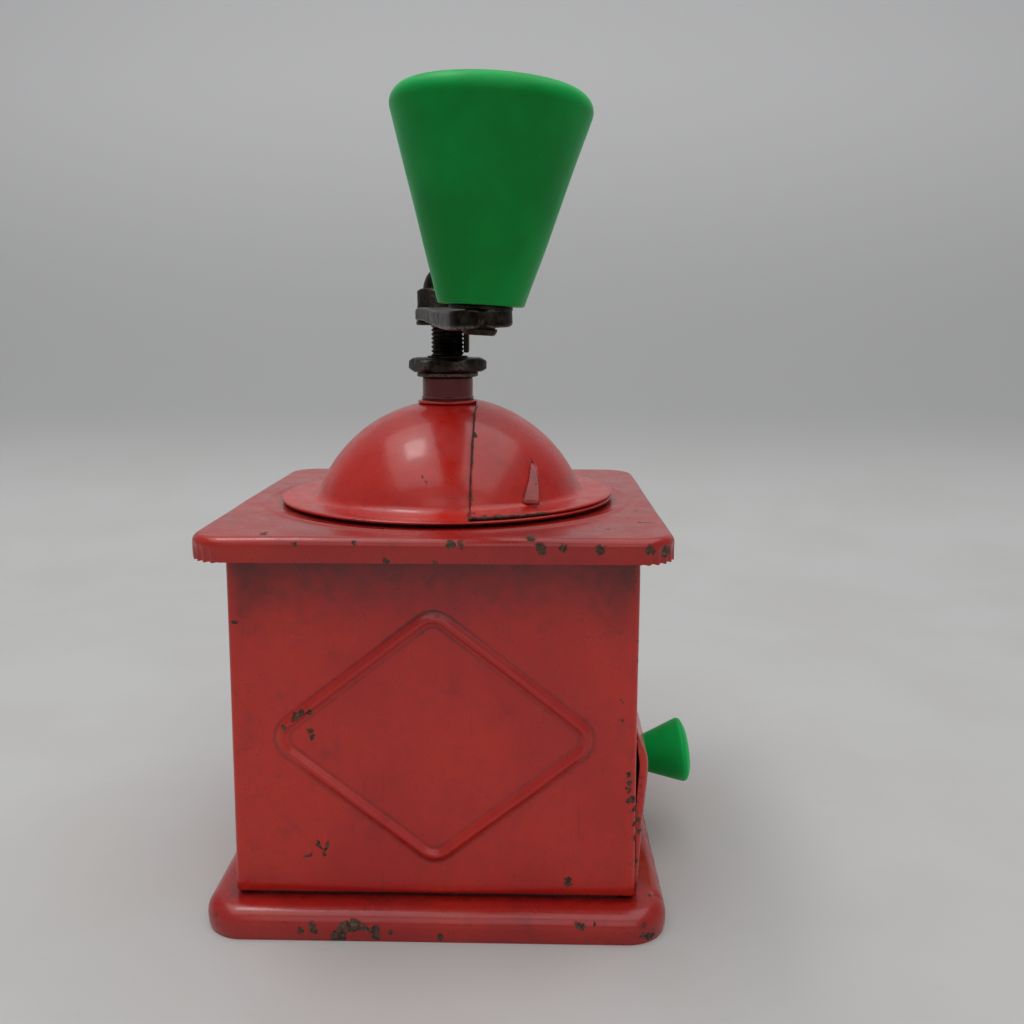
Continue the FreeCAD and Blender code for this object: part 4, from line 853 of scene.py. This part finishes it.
def hopper_dome():
    """The fixed dome, with the bean window on its +X side."""
    high = span("hopper_dome")[1]
    brim_level = span("dome_door")[0].z - 0.3
    profile = dome_profile(
        DOME_RADIUS, DOME_FILLET, high.x - 0.1, brim_level, 6.2, (WINDOW_NEAR, WINDOW_FAR)
    )
    rows = []
    for r, z in profile:
        side = math.acos(WINDOW_EDGE / min(WINDOW_FAR, max(WINDOW_NEAR, r)))
        angles = spread(-side, side, WINDOW_STEPS)[:-1]
        angles += spread(side, TURN - side, DOME_STEPS - WINDOW_STEPS)[:-1]
        rows.append([Vector((r * math.cos(a), r * math.sin(a), z)) for a in angles])
    points, faces = grid(rows)

    def in_window(face):
        centre = sum((points[k] for k in face), Vector()) / 4
        reach = math.hypot(centre.x, centre.y)
        return WINDOW_NEAR < reach < WINDOW_FAR and centre.x > WINDOW_EDGE

    faces = [face for face in faces if not in_window(face)]
    shape = dented((points, faces), 0.2, 17.0, 4, lambda p: smooth(p.z, 88.0, 94.0) * smooth(-p.x, -8, 4))

    def wear_and_painted_light(p):
        across = math.hypot(p.x, p.y)
        under_edge = 0.9 * smooth(p.x, 6.5, 7.1) * smooth(-p.x, -9.6, -8.6)
        # painted shade: a dark line along the seam under the door's edge, a little more under the door, and round
        # the foot of the neck
        painted_shade = max(under_edge, 0.3 * smooth(p.x, 7.0, 9.0), 0.6 * smooth(-across, -8.4, -7.0))
        return 0.5 * smooth(across, high.x - 1.0, high.x - 0.2) - painted_shade

    spots = [(-3.3, -28.2, 95.2, 0.2), (-2.6, -28.6, 94.2, 0.18)]
    piece(
        "hopper_shell", shape, "housing", ["hopper_dome"],
        enamelled("dome enamel", spots, 0.8), wear_and_painted_light, sheet=THIN_SHEET,
    )


TAB_LOW = 89.3
TAB_TALL = 8.0


def tab_span(level):
    """Where the finger tab is fixed and where its free edge is, in degrees from -Y."""
    up = min(1.0, max(0.0, (level - TAB_LOW) / TAB_TALL))
    return 34.5 + 12.4 * up ** 1.2, 39.6 + 8.0 * up


def near_tab(point, before, after):
    """Whether a point of the door is at the tab's height, and between some degrees from
    its fixed edge and some from its free edge."""
    fixed, loose = tab_span(point.z)
    angle = math.degrees(math.atan2(point.x, -point.y))
    return TAB_LOW < point.z < TAB_LOW + TAB_TALL and fixed + before < angle < loose + after


def door_tab(radius):
    """The finger tab: a flap lanced out of the door, standing off at its free edge."""
    rows = []
    for t in spread(0, 1, 12):
        level = TAB_LOW + TAB_TALL * t
        reach = math.sqrt(radius ** 2 - (level - DOME_CENTRE) ** 2)
        fixed, loose = tab_span(level)
        lift = 1.9 * (1 - t) ** 0.6 + 0.5
        row = []
        for u in spread(0, 1, 6):
            angle = math.radians(fixed + (loose - fixed) * u - 90)
            out = reach + lift * u ** 1.3
            row.append(Vector((out * math.cos(angle), out * math.sin(angle), level)))
        rows.append(row)
    return grid(rows, around=False)


def dome_door():
    """The swivelling half shell, its pivot ring round the neck, and its finger tab."""
    high = span("dome_door")[1]
    radius = DOME_RADIUS + DOOR_LIFT
    brim_level = 87.6 + DOOR_LIFT
    profile = dome_profile(radius, DOME_FILLET - DOOR_LIFT, high.x - 0.15, brim_level, 6.3, (DOOR_RING,))
    shell = [(r, z) for r, z in profile if r > DOOR_RING - 0.001]
    ring = [(r, z) for r, z in profile if r < DOOR_RING + 0.001]
    rows = []
    for r, z in shell:
        wobble = 0.16 * noise.noise(Vector((r / 2.3, z / 5, 7.1))) * smooth(r, 10, 14)
        half_turn = math.acos(min(1.0, (DOOR_EDGE + wobble) / r))
        row = []
        for angle in spread(-half_turn, half_turn, DOOR_STEPS):
            torn = smooth(r, 38.6, 40.0) * smooth(-angle, math.radians(52), math.radians(58))
            out = r - 0.55 * torn * abs(noise.noise(Vector((angle * 30, 3.3, 1.7))))
            lift = 0.25 * torn * noise.noise(Vector((angle * 17, 8.3, 2.7)))
            row.append(Vector((out * math.cos(angle), out * math.sin(angle), z + lift)))
        rows.append(row)
    opening = math.acos(DOOR_EDGE / DOOR_RING)
    angles = spread(-opening, opening, DOOR_STEPS) + spread(opening, TURN - opening, 90)[1:-1]
    ring_rows = []
    for r, z in ring:
        droop = 0.25 * smooth(r, 6.6, DOOR_RING)
        row = []
        for a in angles:
            x = r * math.cos(a)
            row.append(Vector((x, r * math.sin(a), z - droop * smooth(-x, -DOOR_EDGE, -6.0))))
        ring_rows.append(row)
    shell_points, shell_faces = grid(rows, around=False)
    shell_faces = [
        f for f in shell_faces if not near_tab(sum((shell_points[k] for k in f), Vector()) / 4, 0.6, 2.6)
    ]
    shell_shape = joined((shell_points, shell_faces), grid(ring_rows))

    def free(p):
        return smooth(p.x, 9.0, 20.0) * smooth(p.z, 89.0, 94.0)

    shape = joined(dented(shell_shape, 0.18, 15.0, 5, free), door_tab(radius))

    def wear_and_painted_light(p):
        across = math.hypot(p.x, p.y)
        # rust chips along the door's edge at the seam, made dense so they also stand for the dark line of shade in
        # the seam
        seam = smooth(-p.x, -(DOOR_EDGE + 0.6), -(DOOR_EDGE + 0.2)) * smooth(across, 8.5, 10.0)
        brim = smooth(across, 39.0, 39.8)
        front = smooth(-p.y, 30.0, 34.0)
        # painted shade over the finger tab and on the pivot ring round the neck
        painted_shade = 0.55 if near_tab(p, -0.3, 0.8) else 0.7 * smooth(-across, -DOOR_RING, -6.8)
        return max(0.85 * seam, brim * (0.45 + 0.5 * front)) - painted_shade

    spots = [
        (7.2, -39.2, 88.5, 0.8), (10.5, -38.6, 88.5, 0.7), (13.4, -37.6, 88.5, 0.6), (8.2, -34.6, 88.6, 0.35),
        (7.6, -8.0, 109.2, 0.4), (20.2, -24.0, 91.0, 0.25), (21.5, -23.4, 93.0, 0.25),
        (7.6, -20.0, 103.7, 0.4),
        (7.6, -31.6, 90.6, 0.4),
    ]
    piece(
        "swivel_door", shape, "door", ["dome_door"],
        enamelled("door enamel", spots), wear_and_painted_light, sheet=THIN_SHEET,
    )


def neck_tube():
    """The painted neck, with a rolled collar over the dome."""
    low, high = span("neck_tube")
    outer, bore, beaded = 6.12, 4.06, 6.35
    bead = 110.5
    path = [
        (bore, low.z, 0.2), (outer, low.z, 0.3), (outer, bead, 0.1), (beaded, bead + 0.1, 0.2),
        (beaded, bead + 0.5, 0.2), (outer, bead + 0.7, 0.2), (outer, high.z, 0.5), (bore, high.z, 0.3),
    ]

    def free(p):
        return smooth(p.z, 112, 114) * smooth(-p.z, -115.6, -115)

    shape = dented(lathe(path, 72, 1.0, closed=True), 0.08, 5.0, 6, free)

    def wear_and_painted_light(p):
        return 0.6 * smooth(p.z, high.z - 0.8, high.z - 0.1) + 0.6 * smooth(-p.z, -(bead + 0.6), -bead)

    # the last enamel number is painted shade over the whole neck, which lies in the shade of the arm and nut
    piece(
        "painted_neck", shape, "housing", ["neck_tube"],
        [red_enamel("neck enamel", (), 0.7, 0.85)], wear_and_painted_light,
    )


# ---------------------------------------------------------------- spindle and nuts


THREAD_PITCH = 1.0
THREAD_DEEP = 0.5
THREAD_LOW = 117.6
SHOULDER = 128.2
FLAT_HALF = 3.2


def spindle():
    """The shaft, with a real helical thread for the adjusting nut and two flats above."""
    low, high = span("spindle")
    radius, head = 4.0, high.x
    profile = rounded(
        [
            (0, low.z, 0), (head, low.z, 0.4), (head, low.z + 2, 0.4), (radius, low.z + 2, 0.3),
            (radius, THREAD_LOW, 0), (radius, high.z - 0.8, 0), (radius - 0.8, high.z, 0), (0, high.z, 0),
        ],
        longest=3.0,
    )
    thread = [Vector((radius, z)) for z in spread(THREAD_LOW, SHOULDER, 95)]
    profile = [p for p in profile if p.y <= THREAD_LOW] + thread + [p for p in profile if p.y > SHOULDER]
    rows = []
    for p in profile:
        row = round_ring(p.x, p.y, 48)
        inside = smooth(p.y, THREAD_LOW, THREAD_LOW + 0.8) * smooth(-p.y, -SHOULDER, -SHOULDER + 0.3)
        for k, point in enumerate(row):
            phase = (p.y / THREAD_PITCH - k / len(row)) % 1
            groove = THREAD_DEEP * abs(1 - 2 * phase) * inside
            point.x *= (p.x - groove) / max(p.x, 0.1)
            point.y *= (p.x - groove) / max(p.x, 0.1)
            if p.y > SHOULDER:
                point.y = max(-FLAT_HALF, min(FLAT_HALF, point.y))
        rows.append(row)
    piece("threaded_spindle", grid(rows), "crank", ["spindle"], [finishes["worn_steel"]])


def hexagon_rows(across, low, high, bevel_low, bevel_high, turn, soft=0.35):
    """Rings of a hexagon between two levels, with the corners turned back at each end and
    a little rounded."""
    flat = across / 2
    levels = spread(low, low + 1.2, 6) + spread(low + 1.2, high - 1.2, 4)[1:-1] + spread(high - 1.2, high, 6)
    rows = []
    for level in levels:
        limit = flat * 1.1547
        if bevel_low:
            limit = min(limit, flat - 0.15 + (level - low) * 1.9)
        if bevel_high:
            limit = min(limit, flat - 0.15 + (high - level) * 1.9)
        row = []
        for k in range(120):
            angle = TURN * k / 120
            side = (math.degrees(angle) - turn + 30) % 60 - 30
            hexed = flat / math.cos(math.radians(side))
            ease = -soft * math.log(math.exp(-hexed / soft) + math.exp(-limit / soft))
            reach = min(ease, hexed, limit)
            row.append(Vector((reach * math.cos(angle), reach * math.sin(angle), level)))
        rows.append(row)
    return rows


def adjusting_nut():
    """The thin hexagon nut that sets the grind, knocked and rusty, with a low collar."""
    low, high = span("adjusting_nut")
    bore, collar = 4.06, 4.9
    top = low.z + 3.3
    rows = [round_ring(bore, low.z + 0.3, 120), round_ring(bore + 0.4, low.z, 120)]
    rows += hexagon_rows(17.0, low.z, top, True, True, 54 + 180 + 30)
    collar_path = [
        (collar + 0.5, top), (collar, top + 0.12), (collar, high.z - 0.1), (collar - 0.15, high.z),
        (bore + 0.3, high.z), (bore, high.z - 0.3),
    ]
    rows += [round_ring(r, z, 120) for r, z in collar_path]
    shape = grid(rows, looped=True)
    shape = dented(shape, 0.14, 2.6, 7, lambda p: smooth(math.hypot(p.x, p.y), 6, 7.5) * 0.9)
    rim = 8.6

    def wear_and_painted_light(p):
        return 0.6 * smooth(math.hypot(p.x, p.y), rim, rim + 0.9)

    piece("grind_nut", shape, "nut", ["adjusting_nut"], [finishes["worn_steel"]], wear_and_painted_light)


def disc_washer(name, node, body, bore, seed):
    """A stamped washer with softened edges and a slight wave."""
    low, high = span(node)
    reach = high.x
    path = [
        (bore, low.z, 0.2), (reach - 0.1, low.z, 0.35), (reach - 0.1, high.z, 0.35), (bore, high.z, 0.2)
    ]
    shape = dented(lathe(path, 72, 1.0, closed=True), 0.06, 4.0, seed)

    def wear_and_painted_light(p):
        return 0.7 * smooth(math.hypot(p.x, p.y), reach - 0.5, reach - 0.1)

    piece(name, shape, body, [node], [finishes["worn_steel"]], wear_and_painted_light)


def tab_washer():
    """The washer under the arm, with its tongue bent down beside the thread."""
    low, high = span("tab_washer")
    thick, reach = 1.1, 7.5
    under = high.z - thick
    path = [(4.1, under, 0.2), (reach, under, 0.4), (reach, high.z, 0.4), (4.1, high.z, 0.2)]
    disc = lathe(path, 72, 1.0, closed=True)
    section = rounded(
        [(4.0, -2.2, 0.3), (5.24, -2.2, 0.3), (5.24, 2.2, 0.3), (4.0, 2.2, 0.3)], 1.0, closed=True
    )
    middle = Vector((4.62, 0, 0))
    rows = []
    widths = (
        (low.z, 0.0), (low.z, 0.7), (low.z + 0.3, 0.95), (low.z + 2, 1.0), (under, 1.0),
        (high.z - 0.4, 1.0), (high.z - 0.4, 0.0),
    )
    for level, share in widths:
        rows.append([middle.lerp(Vector((p.x, p.y, 0)), share) + Vector((0, 0, level)) for p in section])
    shape = dented(joined(disc, grid(rows)), 0.07, 4.0, 9)
    piece("tongue_washer", shape, "crank", ["tab_washer"], [finishes["worn_steel"]])


def cap_nut():
    """The domed nut on the end of the spindle."""
    low, high = span("cap_nut")
    hex_top = low.z + 4.6
    dome = 5.75
    rows = [round_ring(0, low.z + 0.1, 120), round_ring(3.9, low.z + 0.1, 120), round_ring(4.4, low.z, 120)]
    rows += hexagon_rows(13.0, low.z, hex_top, False, True, 8.2 + 30)
    rows.append(round_ring(dome + 0.2, hex_top + 0.02, 120))
    for a in spread(0, math.pi / 2, 14):
        rise = (high.z - hex_top) * math.sin(a)
        rows.append(round_ring(dome * math.cos(a), hex_top + rise, 120))
    rim = 6.6

    def free(p):
        return smooth(p.z, low.z + 0.3, low.z + 1) * smooth(-p.z, -high.z, -high.z + 2)

    shape = dented(grid(rows), 0.1, 3.0, 10, free)

    def wear_and_painted_light(p):
        return 0.6 * smooth(math.hypot(p.x, p.y), rim, rim + 0.7) + 0.3 * smooth(p.z, high.z - 1.5, high.z)

    piece("acorn_nut", shape, "crank", ["cap_nut"], [finishes["worn_steel"]], wear_and_painted_light)


# ---------------------------------------------------------------- crank and knobs


ARM_THICK = 3.0
ARM_HUB = 7.7
ARM_TIP = 5.2


def crank_arm():
    """The forged bar, narrowing from hub to tip, with worn round edges."""
    tip, axis = joint("knob_spin")
    low_z = span("tab_washer")[1].z
    hub = Vector((0, 0, low_z + ARM_THICK / 2))
    along = Vector((tip.x, tip.y, 0))
    length = along.length
    along.normalize()
    side = along.cross(Z_AXIS)
    roll = math.atan2(-axis.dot(side), axis.z)
    drop = hub.z - tip.z
    section = rounded(
        [(-1, -1, 0.45), (1, -1, 0.45), (1, 1, 0.45), (-1, 1, 0.45)], 0.25, closed=True
    )

    def half_wide(s):
        straight = ARM_HUB + (ARM_TIP - ARM_HUB) * s / length
        if s < 0:
            return math.sqrt(max(0.0, ARM_HUB ** 2 - s ** 2))
        if s > length:
            return math.sqrt(max(0.0, ARM_TIP ** 2 - (s - length) ** 2))
        return straight

    places = [-ARM_HUB * math.cos(a) for a in spread(0, math.pi / 2, 12)]
    places += spread(0, length, 46)[1:-1]
    places += [length + ARM_TIP * math.sin(a) for a in spread(0, math.pi / 2, 12)]
    rows = []
    for s in places:
        wide = max(half_wide(s), 0.02)
        share = smooth(s, ARM_HUB + 0.5, length - 7)
        centre = hub + along * s - Z_AXIS * drop * share
        across = (side * math.cos(roll * share) - Z_AXIS * math.sin(roll * share)).normalized()
        up = across.cross(along).normalized()
        up = up if up.z > 0 else -up
        ends = smooth(wide, 0.0, 2.2)
        tall = ARM_THICK / 2 * (0.55 + 0.45 * ends)
        row = []
        for p in section:
            inner = wide - 1.5
            x = math.copysign(max(inner, 0), p.x) * min(1.0, abs(p.x) * 2) + p.x * min(wide, 1.5)
            row.append(centre + across * x + up * p.y * tall)
        rows.append(row)
    rows = [[sum(rows[0], Vector()) / len(rows[0])] * len(rows[0])] + rows
    rows += [[sum(rows[-1], Vector()) / len(rows[-1])] * len(rows[-1])]
    shape = dented(grid(rows), 0.12, 4.5, 11)

    def wear_and_painted_light(p):
        s = (p - hub).dot(along)
        share = smooth(s, ARM_HUB + 0.5, length - 7)
        rim = smooth(abs((p - hub).dot(side)), half_wide(s) - 0.7, half_wide(s) - 0.2)
        edge = smooth(abs(p.z - hub.z + drop * share), 1.0, 1.35)
        return 0.9 * rim * edge + 0.5 * rim * smooth(-s, -4.0, 3.0)

    piece("crank_bar", shape, "crank", ["crank_arm"], [finishes["worn_steel"]], wear_and_painted_light)


KNOB_TALL = 34.4
KNOB_RECESS = 32.8
KNOB_BASE = ARM_THICK / 2 + 0.7


def crank_knob():
    """The moulded cone, with a soft shoulder, a low crown and a recess for the rivet."""
    tip, axis = joint("knob_spin")
    path = [
        (2.56, 0, 0), (6.95, 0, 0.4), (16.75, 32.6, 2.7), (10.0, 33.8, 16.0), (5.0, KNOB_TALL, 0.5),
        (4.8, KNOB_RECESS, 0.4), (2.56, KNOB_RECESS, 0),
    ]
    shape = moved(lathe(path, 128, 1.5, closed=True), on_axis(tip, axis, KNOB_BASE))

    def free(p):
        height = (p - tip).dot(axis) - KNOB_BASE
        across = (p - tip - axis * (height + KNOB_BASE)).length
        return smooth(across, 5.0, 6.5) * smooth(height, 2, 8) * smooth(-height, -34, -29)

    shape = dented(shape, 0.15, 16.0, 12, free)

    def wear_and_painted_light(p):
        height = (p - tip).dot(axis) - KNOB_BASE
        # painted highlight on the crown, where the overhead light falls
        return 0.75 * smooth(height, 29.8, 32.2)

    piece("crank_grip", shape, "knob", ["crank_knob"], [finishes["green_plastic"]], wear_and_painted_light)


def knob_pin():
    """The rivet through the knob, peened under the arm."""
    tip, axis = joint("knob_spin")
    under = -ARM_THICK / 2
    head = KNOB_BASE + KNOB_RECESS + 0.1
    path = [
        (0, under - 1.1, 0), (2.6, under - 1.1, 0.7), (2.9, under, 0.2), (2.5, under, 0), (2.5, head, 0),
        (4.2, head, 0.3), (4.0, head + 0.8, 0.6), (2.2, head + 1.45, 1.0), (0, head + 1.5, 0),
    ]
    shape = moved(lathe(path, 48, 3.0), on_axis(tip, axis))
    shape = dented(shape, 0.06, 2.0, 13, lambda p: smooth((p - tip).dot(axis), head, head + 0.3))
    piece("knob_rivet", shape, "crank", ["knob_pin"], [finishes["worn_steel"]])


def knob_washer():
    tip, axis = joint("knob_spin")
    path = [(2.5, 0, 0.1), (5.15, 0, 0.2), (5.15, 0.6, 0.2), (2.5, 0.6, 0.1)]
    shape = moved(lathe(path, 64, 1.5, closed=True), on_axis(tip, axis, ARM_THICK / 2))
    piece("grip_washer", shape, "crank", ["knob_washer"], [finishes["worn_steel"]])


# ---------------------------------------------------------------- drawer


FRONT_HALF = 39.4
FRONT_ROUND = 1.4
FRONT_LEAN = ((7.0, 43.6), (20.0, 44.4), (33.0, 45.6), (36.5, 45.6), (38.8, 44.7), (40.4, 43.4))
PULL_TILT = math.radians(6.6)
PULL_START = Vector((45.75, 0, 20.1))


def front_face(level):
    """How far out the drawer's front is at a level."""
    marks = [(z, x) for z, x in FRONT_LEAN]
    level = min(marks[-1][0], max(marks[0][0], level))
    for (z0, x0), (z1, x1) in zip(marks, marks[1:]):
        if level <= z1:
            return x0 + (x1 - x0) * (level - z0) / (z1 - z0)
    return marks[-1][1]


def drawer_front():
    """The pressed front: it leans out and rolls back over its top, with side flanges that
    narrow to nothing at their upper ends."""
    low, high = span("drawer_front")
    levels = spread(low.z + 0.1, 32.0, 18) + spread(32.0, high.z - 0.1, 12)[1:]
    rows = []
    for z in levels:
        top = smooth(z, 34.0, high.z)
        face = sum(front_face(z + step) for step in (-1.6, -0.8, 0, 0.8, 1.6)) / 5
        back = 42.98 + 0.9 * smooth(z, 24, 38) - 0.8 * top
        back = min(back, face - 0.15)
        turn = min(FRONT_ROUND, face - back)
        centre = Vector((face - turn, FRONT_HALF - turn))
        side = [Vector((x, FRONT_HALF)) for x in spread(back, face - turn, 3)[:-1]]
        side += [centre + Vector((math.sin(a), math.cos(a))) * turn for a in spread(0, math.pi / 2, 8)]
        middle = [Vector((face, y)) for y in spread(FRONT_HALF - turn, -FRONT_HALF + turn, 48)[1:-1]]
        row = side + middle + [Vector((p.x, -p.y)) for p in reversed(side)]
        crown = 0.9 * smooth(z, low.z, low.z + 8) * (1 - top)
        rows.append(
            [Vector((p.x + crown * (1 - (p.y / FRONT_HALF) ** 2), p.y, z)) for p in row]
        )
    shape = dented(grid(rows, around=False), 0.18, 14.0, 14, lambda p: smooth(p.z, low.z, low.z + 3))

    def wear_and_painted_light(p):
        side = smooth(abs(p.y), FRONT_HALF - 1.0, FRONT_HALF - 0.1)
        ends = max(smooth(p.z, high.z - 2, high.z), smooth(-p.z, -(low.z + 1.5), -low.z))
        return max(0.55 * side, 0.55 * ends)

    spots = [
        (45.0, -38.8, 14.0, 0.5), (44.6, -38.8, 24.0, 0.35), (45.4, 6.5, 22.0, 0.9), (45.6, -5.0, 26.5, 0.6),
    ]
    piece(
        "drawer_panel", shape, "drawer", ["drawer_front"],
        enamelled("drawer enamel", spots, 1.05), wear_and_painted_light, sheet=THIN_SHEET,
    )


def drawer_knob():
    """The small moulded cone, wide end outwards."""
    axis = Vector((math.cos(PULL_TILT), 0, math.sin(PULL_TILT)))
    path = [
        (0, -0.6, 0), (3.35, -0.6, 0.3), (3.45, 0.4, 0), (7.95, 12.9, 1.2), (6.2, 14.3, 6.0), (0, 14.95, 0)
    ]
    shape = moved(lathe(path, 96, 1.0), on_axis(PULL_START, axis))
    shape = dented(shape, 0.12, 8.0, 15, lambda p: smooth(-p.x, -60, -56))

    def wear_and_painted_light(p):
        # painted highlight on the crown
        return smooth(p.x, 56.0, 59.5)

    # lighter greens than the crank knob's: a painted lighter copy of the same plastic, for this better lit knob
    plastic = green_plastic("pull plastic", colour(0, 150, 60), colour(2, 168, 76))
    piece("drawer_pull", shape, "drawer", ["drawer_knob"], [plastic], wear_and_painted_light)


# ---------------------------------------------------------------- stage


FLOOR_HALF = 3.0
COVE_START = 0.22
COVE_RADIUS = 0.75
WALL_HIGH = 2.4


def floor_finish():
    """Pale sheeting, faintly scuffed, with painted shade greying it where it begins to rise, and paler again up
    the wall.
    """
    f = Finish("pale floor")
    tone = f.mix(f.ramp(f.noise(60.0, 4.0), 0.35, 0.65), colour(187, 186, 184), colour(190, 190, 189))
    scuff = f.ramp(f.noise(3.0, 5.0, 0.7, f.stretched(0.25, 0.6, 1.0)), 0.6, 0.75, 0.0, 0.3)
    tone = f.mix(scuff, tone, colour(178, 174, 168))
    height = f.node("SeparateXYZ")
    f.feed(height.inputs[0], f.place)
    # painted shade: grey where the sheet begins to rise, fading back to pale higher up the wall
    tone = f.mix(f.ramp(height.outputs[2], 0.0, 70.0), tone, colour(160, 160, 160))
    tone = f.mix(f.ramp(height.outputs[2], 90.0, 420.0), tone, colour(186, 186, 187))
    f.set(base_color=tone, normal=f.bump(f.noise(4.0, 4.0), 0.05))
    f.shader.inputs["Roughness"].default_value = 0.6
    return f.material


def backdrop():
    """One sheet: a floor that curves up into a wall, far behind the object."""
    section = [Vector((-FLOOR_HALF, 0)), Vector((COVE_START, 0))]
    for a in spread(0, math.pi / 2, 24)[1:]:
        section.append(Vector((COVE_START + COVE_RADIUS * math.sin(a), COVE_RADIUS * (1 - math.cos(a)))))
    section.append(Vector((COVE_START + COVE_RADIUS, WALL_HIGH)))
    rows = [[Vector((x, p.x, p.y)) for x in (-FLOOR_HALF, FLOOR_HALF)] for p in section]
    points, faces = grid(rows, around=False)
    mesh = bpy.data.meshes.new("backdrop")
    mesh.from_pydata(points, [], [tuple(reversed(f)) for f in faces])
    mesh.polygons.foreach_set("use_smooth", [True] * len(mesh.polygons))
    mesh.materials.append(floor_finish())
    made = bpy.data.objects.new("backdrop", mesh)
    bpy.context.scene.collection.objects.link(made)


def softbox(name, place, aim, size, power, tint=(1, 1, 1)):
    """A square area light, pointed at a place."""
    data = bpy.data.lights.new(name, "AREA")
    data.shape = "RECTANGLE"
    data.size, data.size_y = size
    data.energy = power
    data.color = tint
    made = bpy.data.objects.new(name, data)
    made.location = place
    made.rotation_mode = "QUATERNION"
    made.rotation_quaternion = (Vector(aim) - Vector(place)).to_track_quat("-Z", "Y")
    bpy.context.scene.collection.objects.link(made)


def lights():
    """A lit ceiling, a lamp to its left, a little light from the front, and a grey surround."""
    softbox("ceiling", (0.0, -0.1, 1.5), (0, 0, 0.0), (2.4, 2.0), 20.0)
    softbox("lamp", (-0.33, 0.0, 1.0), (0, 0, 0.08), (0.32, 0.24), 1.5)
    softbox("front", (0.15, -1.0, 0.6), (0, 0, 0.08), (1.0, 0.6), 1.7)
    world = bpy.data.worlds.new("surround")
    world.use_nodes = True
    world.node_tree.nodes["Background"].inputs["Color"].default_value = (0.55, 0.56, 0.57, 1)
    world.node_tree.nodes["Background"].inputs["Strength"].default_value = 0.47
    bpy.context.scene.world = world
    bpy.context.scene.view_settings.view_transform = "Standard"


CAMERA_PLACE = Vector((0.01955, -0.24582, 0.12842))
CAMERA_DOWN = math.radians(7.173)
CAMERA_LEFT = math.radians(1.485)
CAMERA_LENS = 35.51
CAMERA_SHIFT = (0.0099, -0.0592)


def camera():
    """Level with the crank, a little to the right of the spindle, looking slightly down."""
    data = bpy.data.cameras.new("camera")
    data.sensor_width = 36.0
    data.lens = CAMERA_LENS
    data.shift_x, data.shift_y = CAMERA_SHIFT
    made = bpy.data.objects.new("camera", data)
    made.location = CAMERA_PLACE
    made.rotation_euler = (math.pi / 2 - CAMERA_DOWN, 0, CAMERA_LEFT)
    bpy.context.scene.collection.objects.link(made)
    bpy.context.scene.camera = made


def build():
    base_pan()
    top_plate()
    body_shell()
    hopper_dome()
    dome_door()
    neck_tube()
    spindle()
    adjusting_nut()
    disc_washer("neck_seat_washer", "neck_washer", "nut_washer", 4.06, 8)
    tab_washer()
    cap_nut()
    crank_arm()
    crank_knob()
    knob_pin()
    knob_washer()
    drawer_front()
    drawer_knob()
    backdrop()
    lights()
    camera()


build()
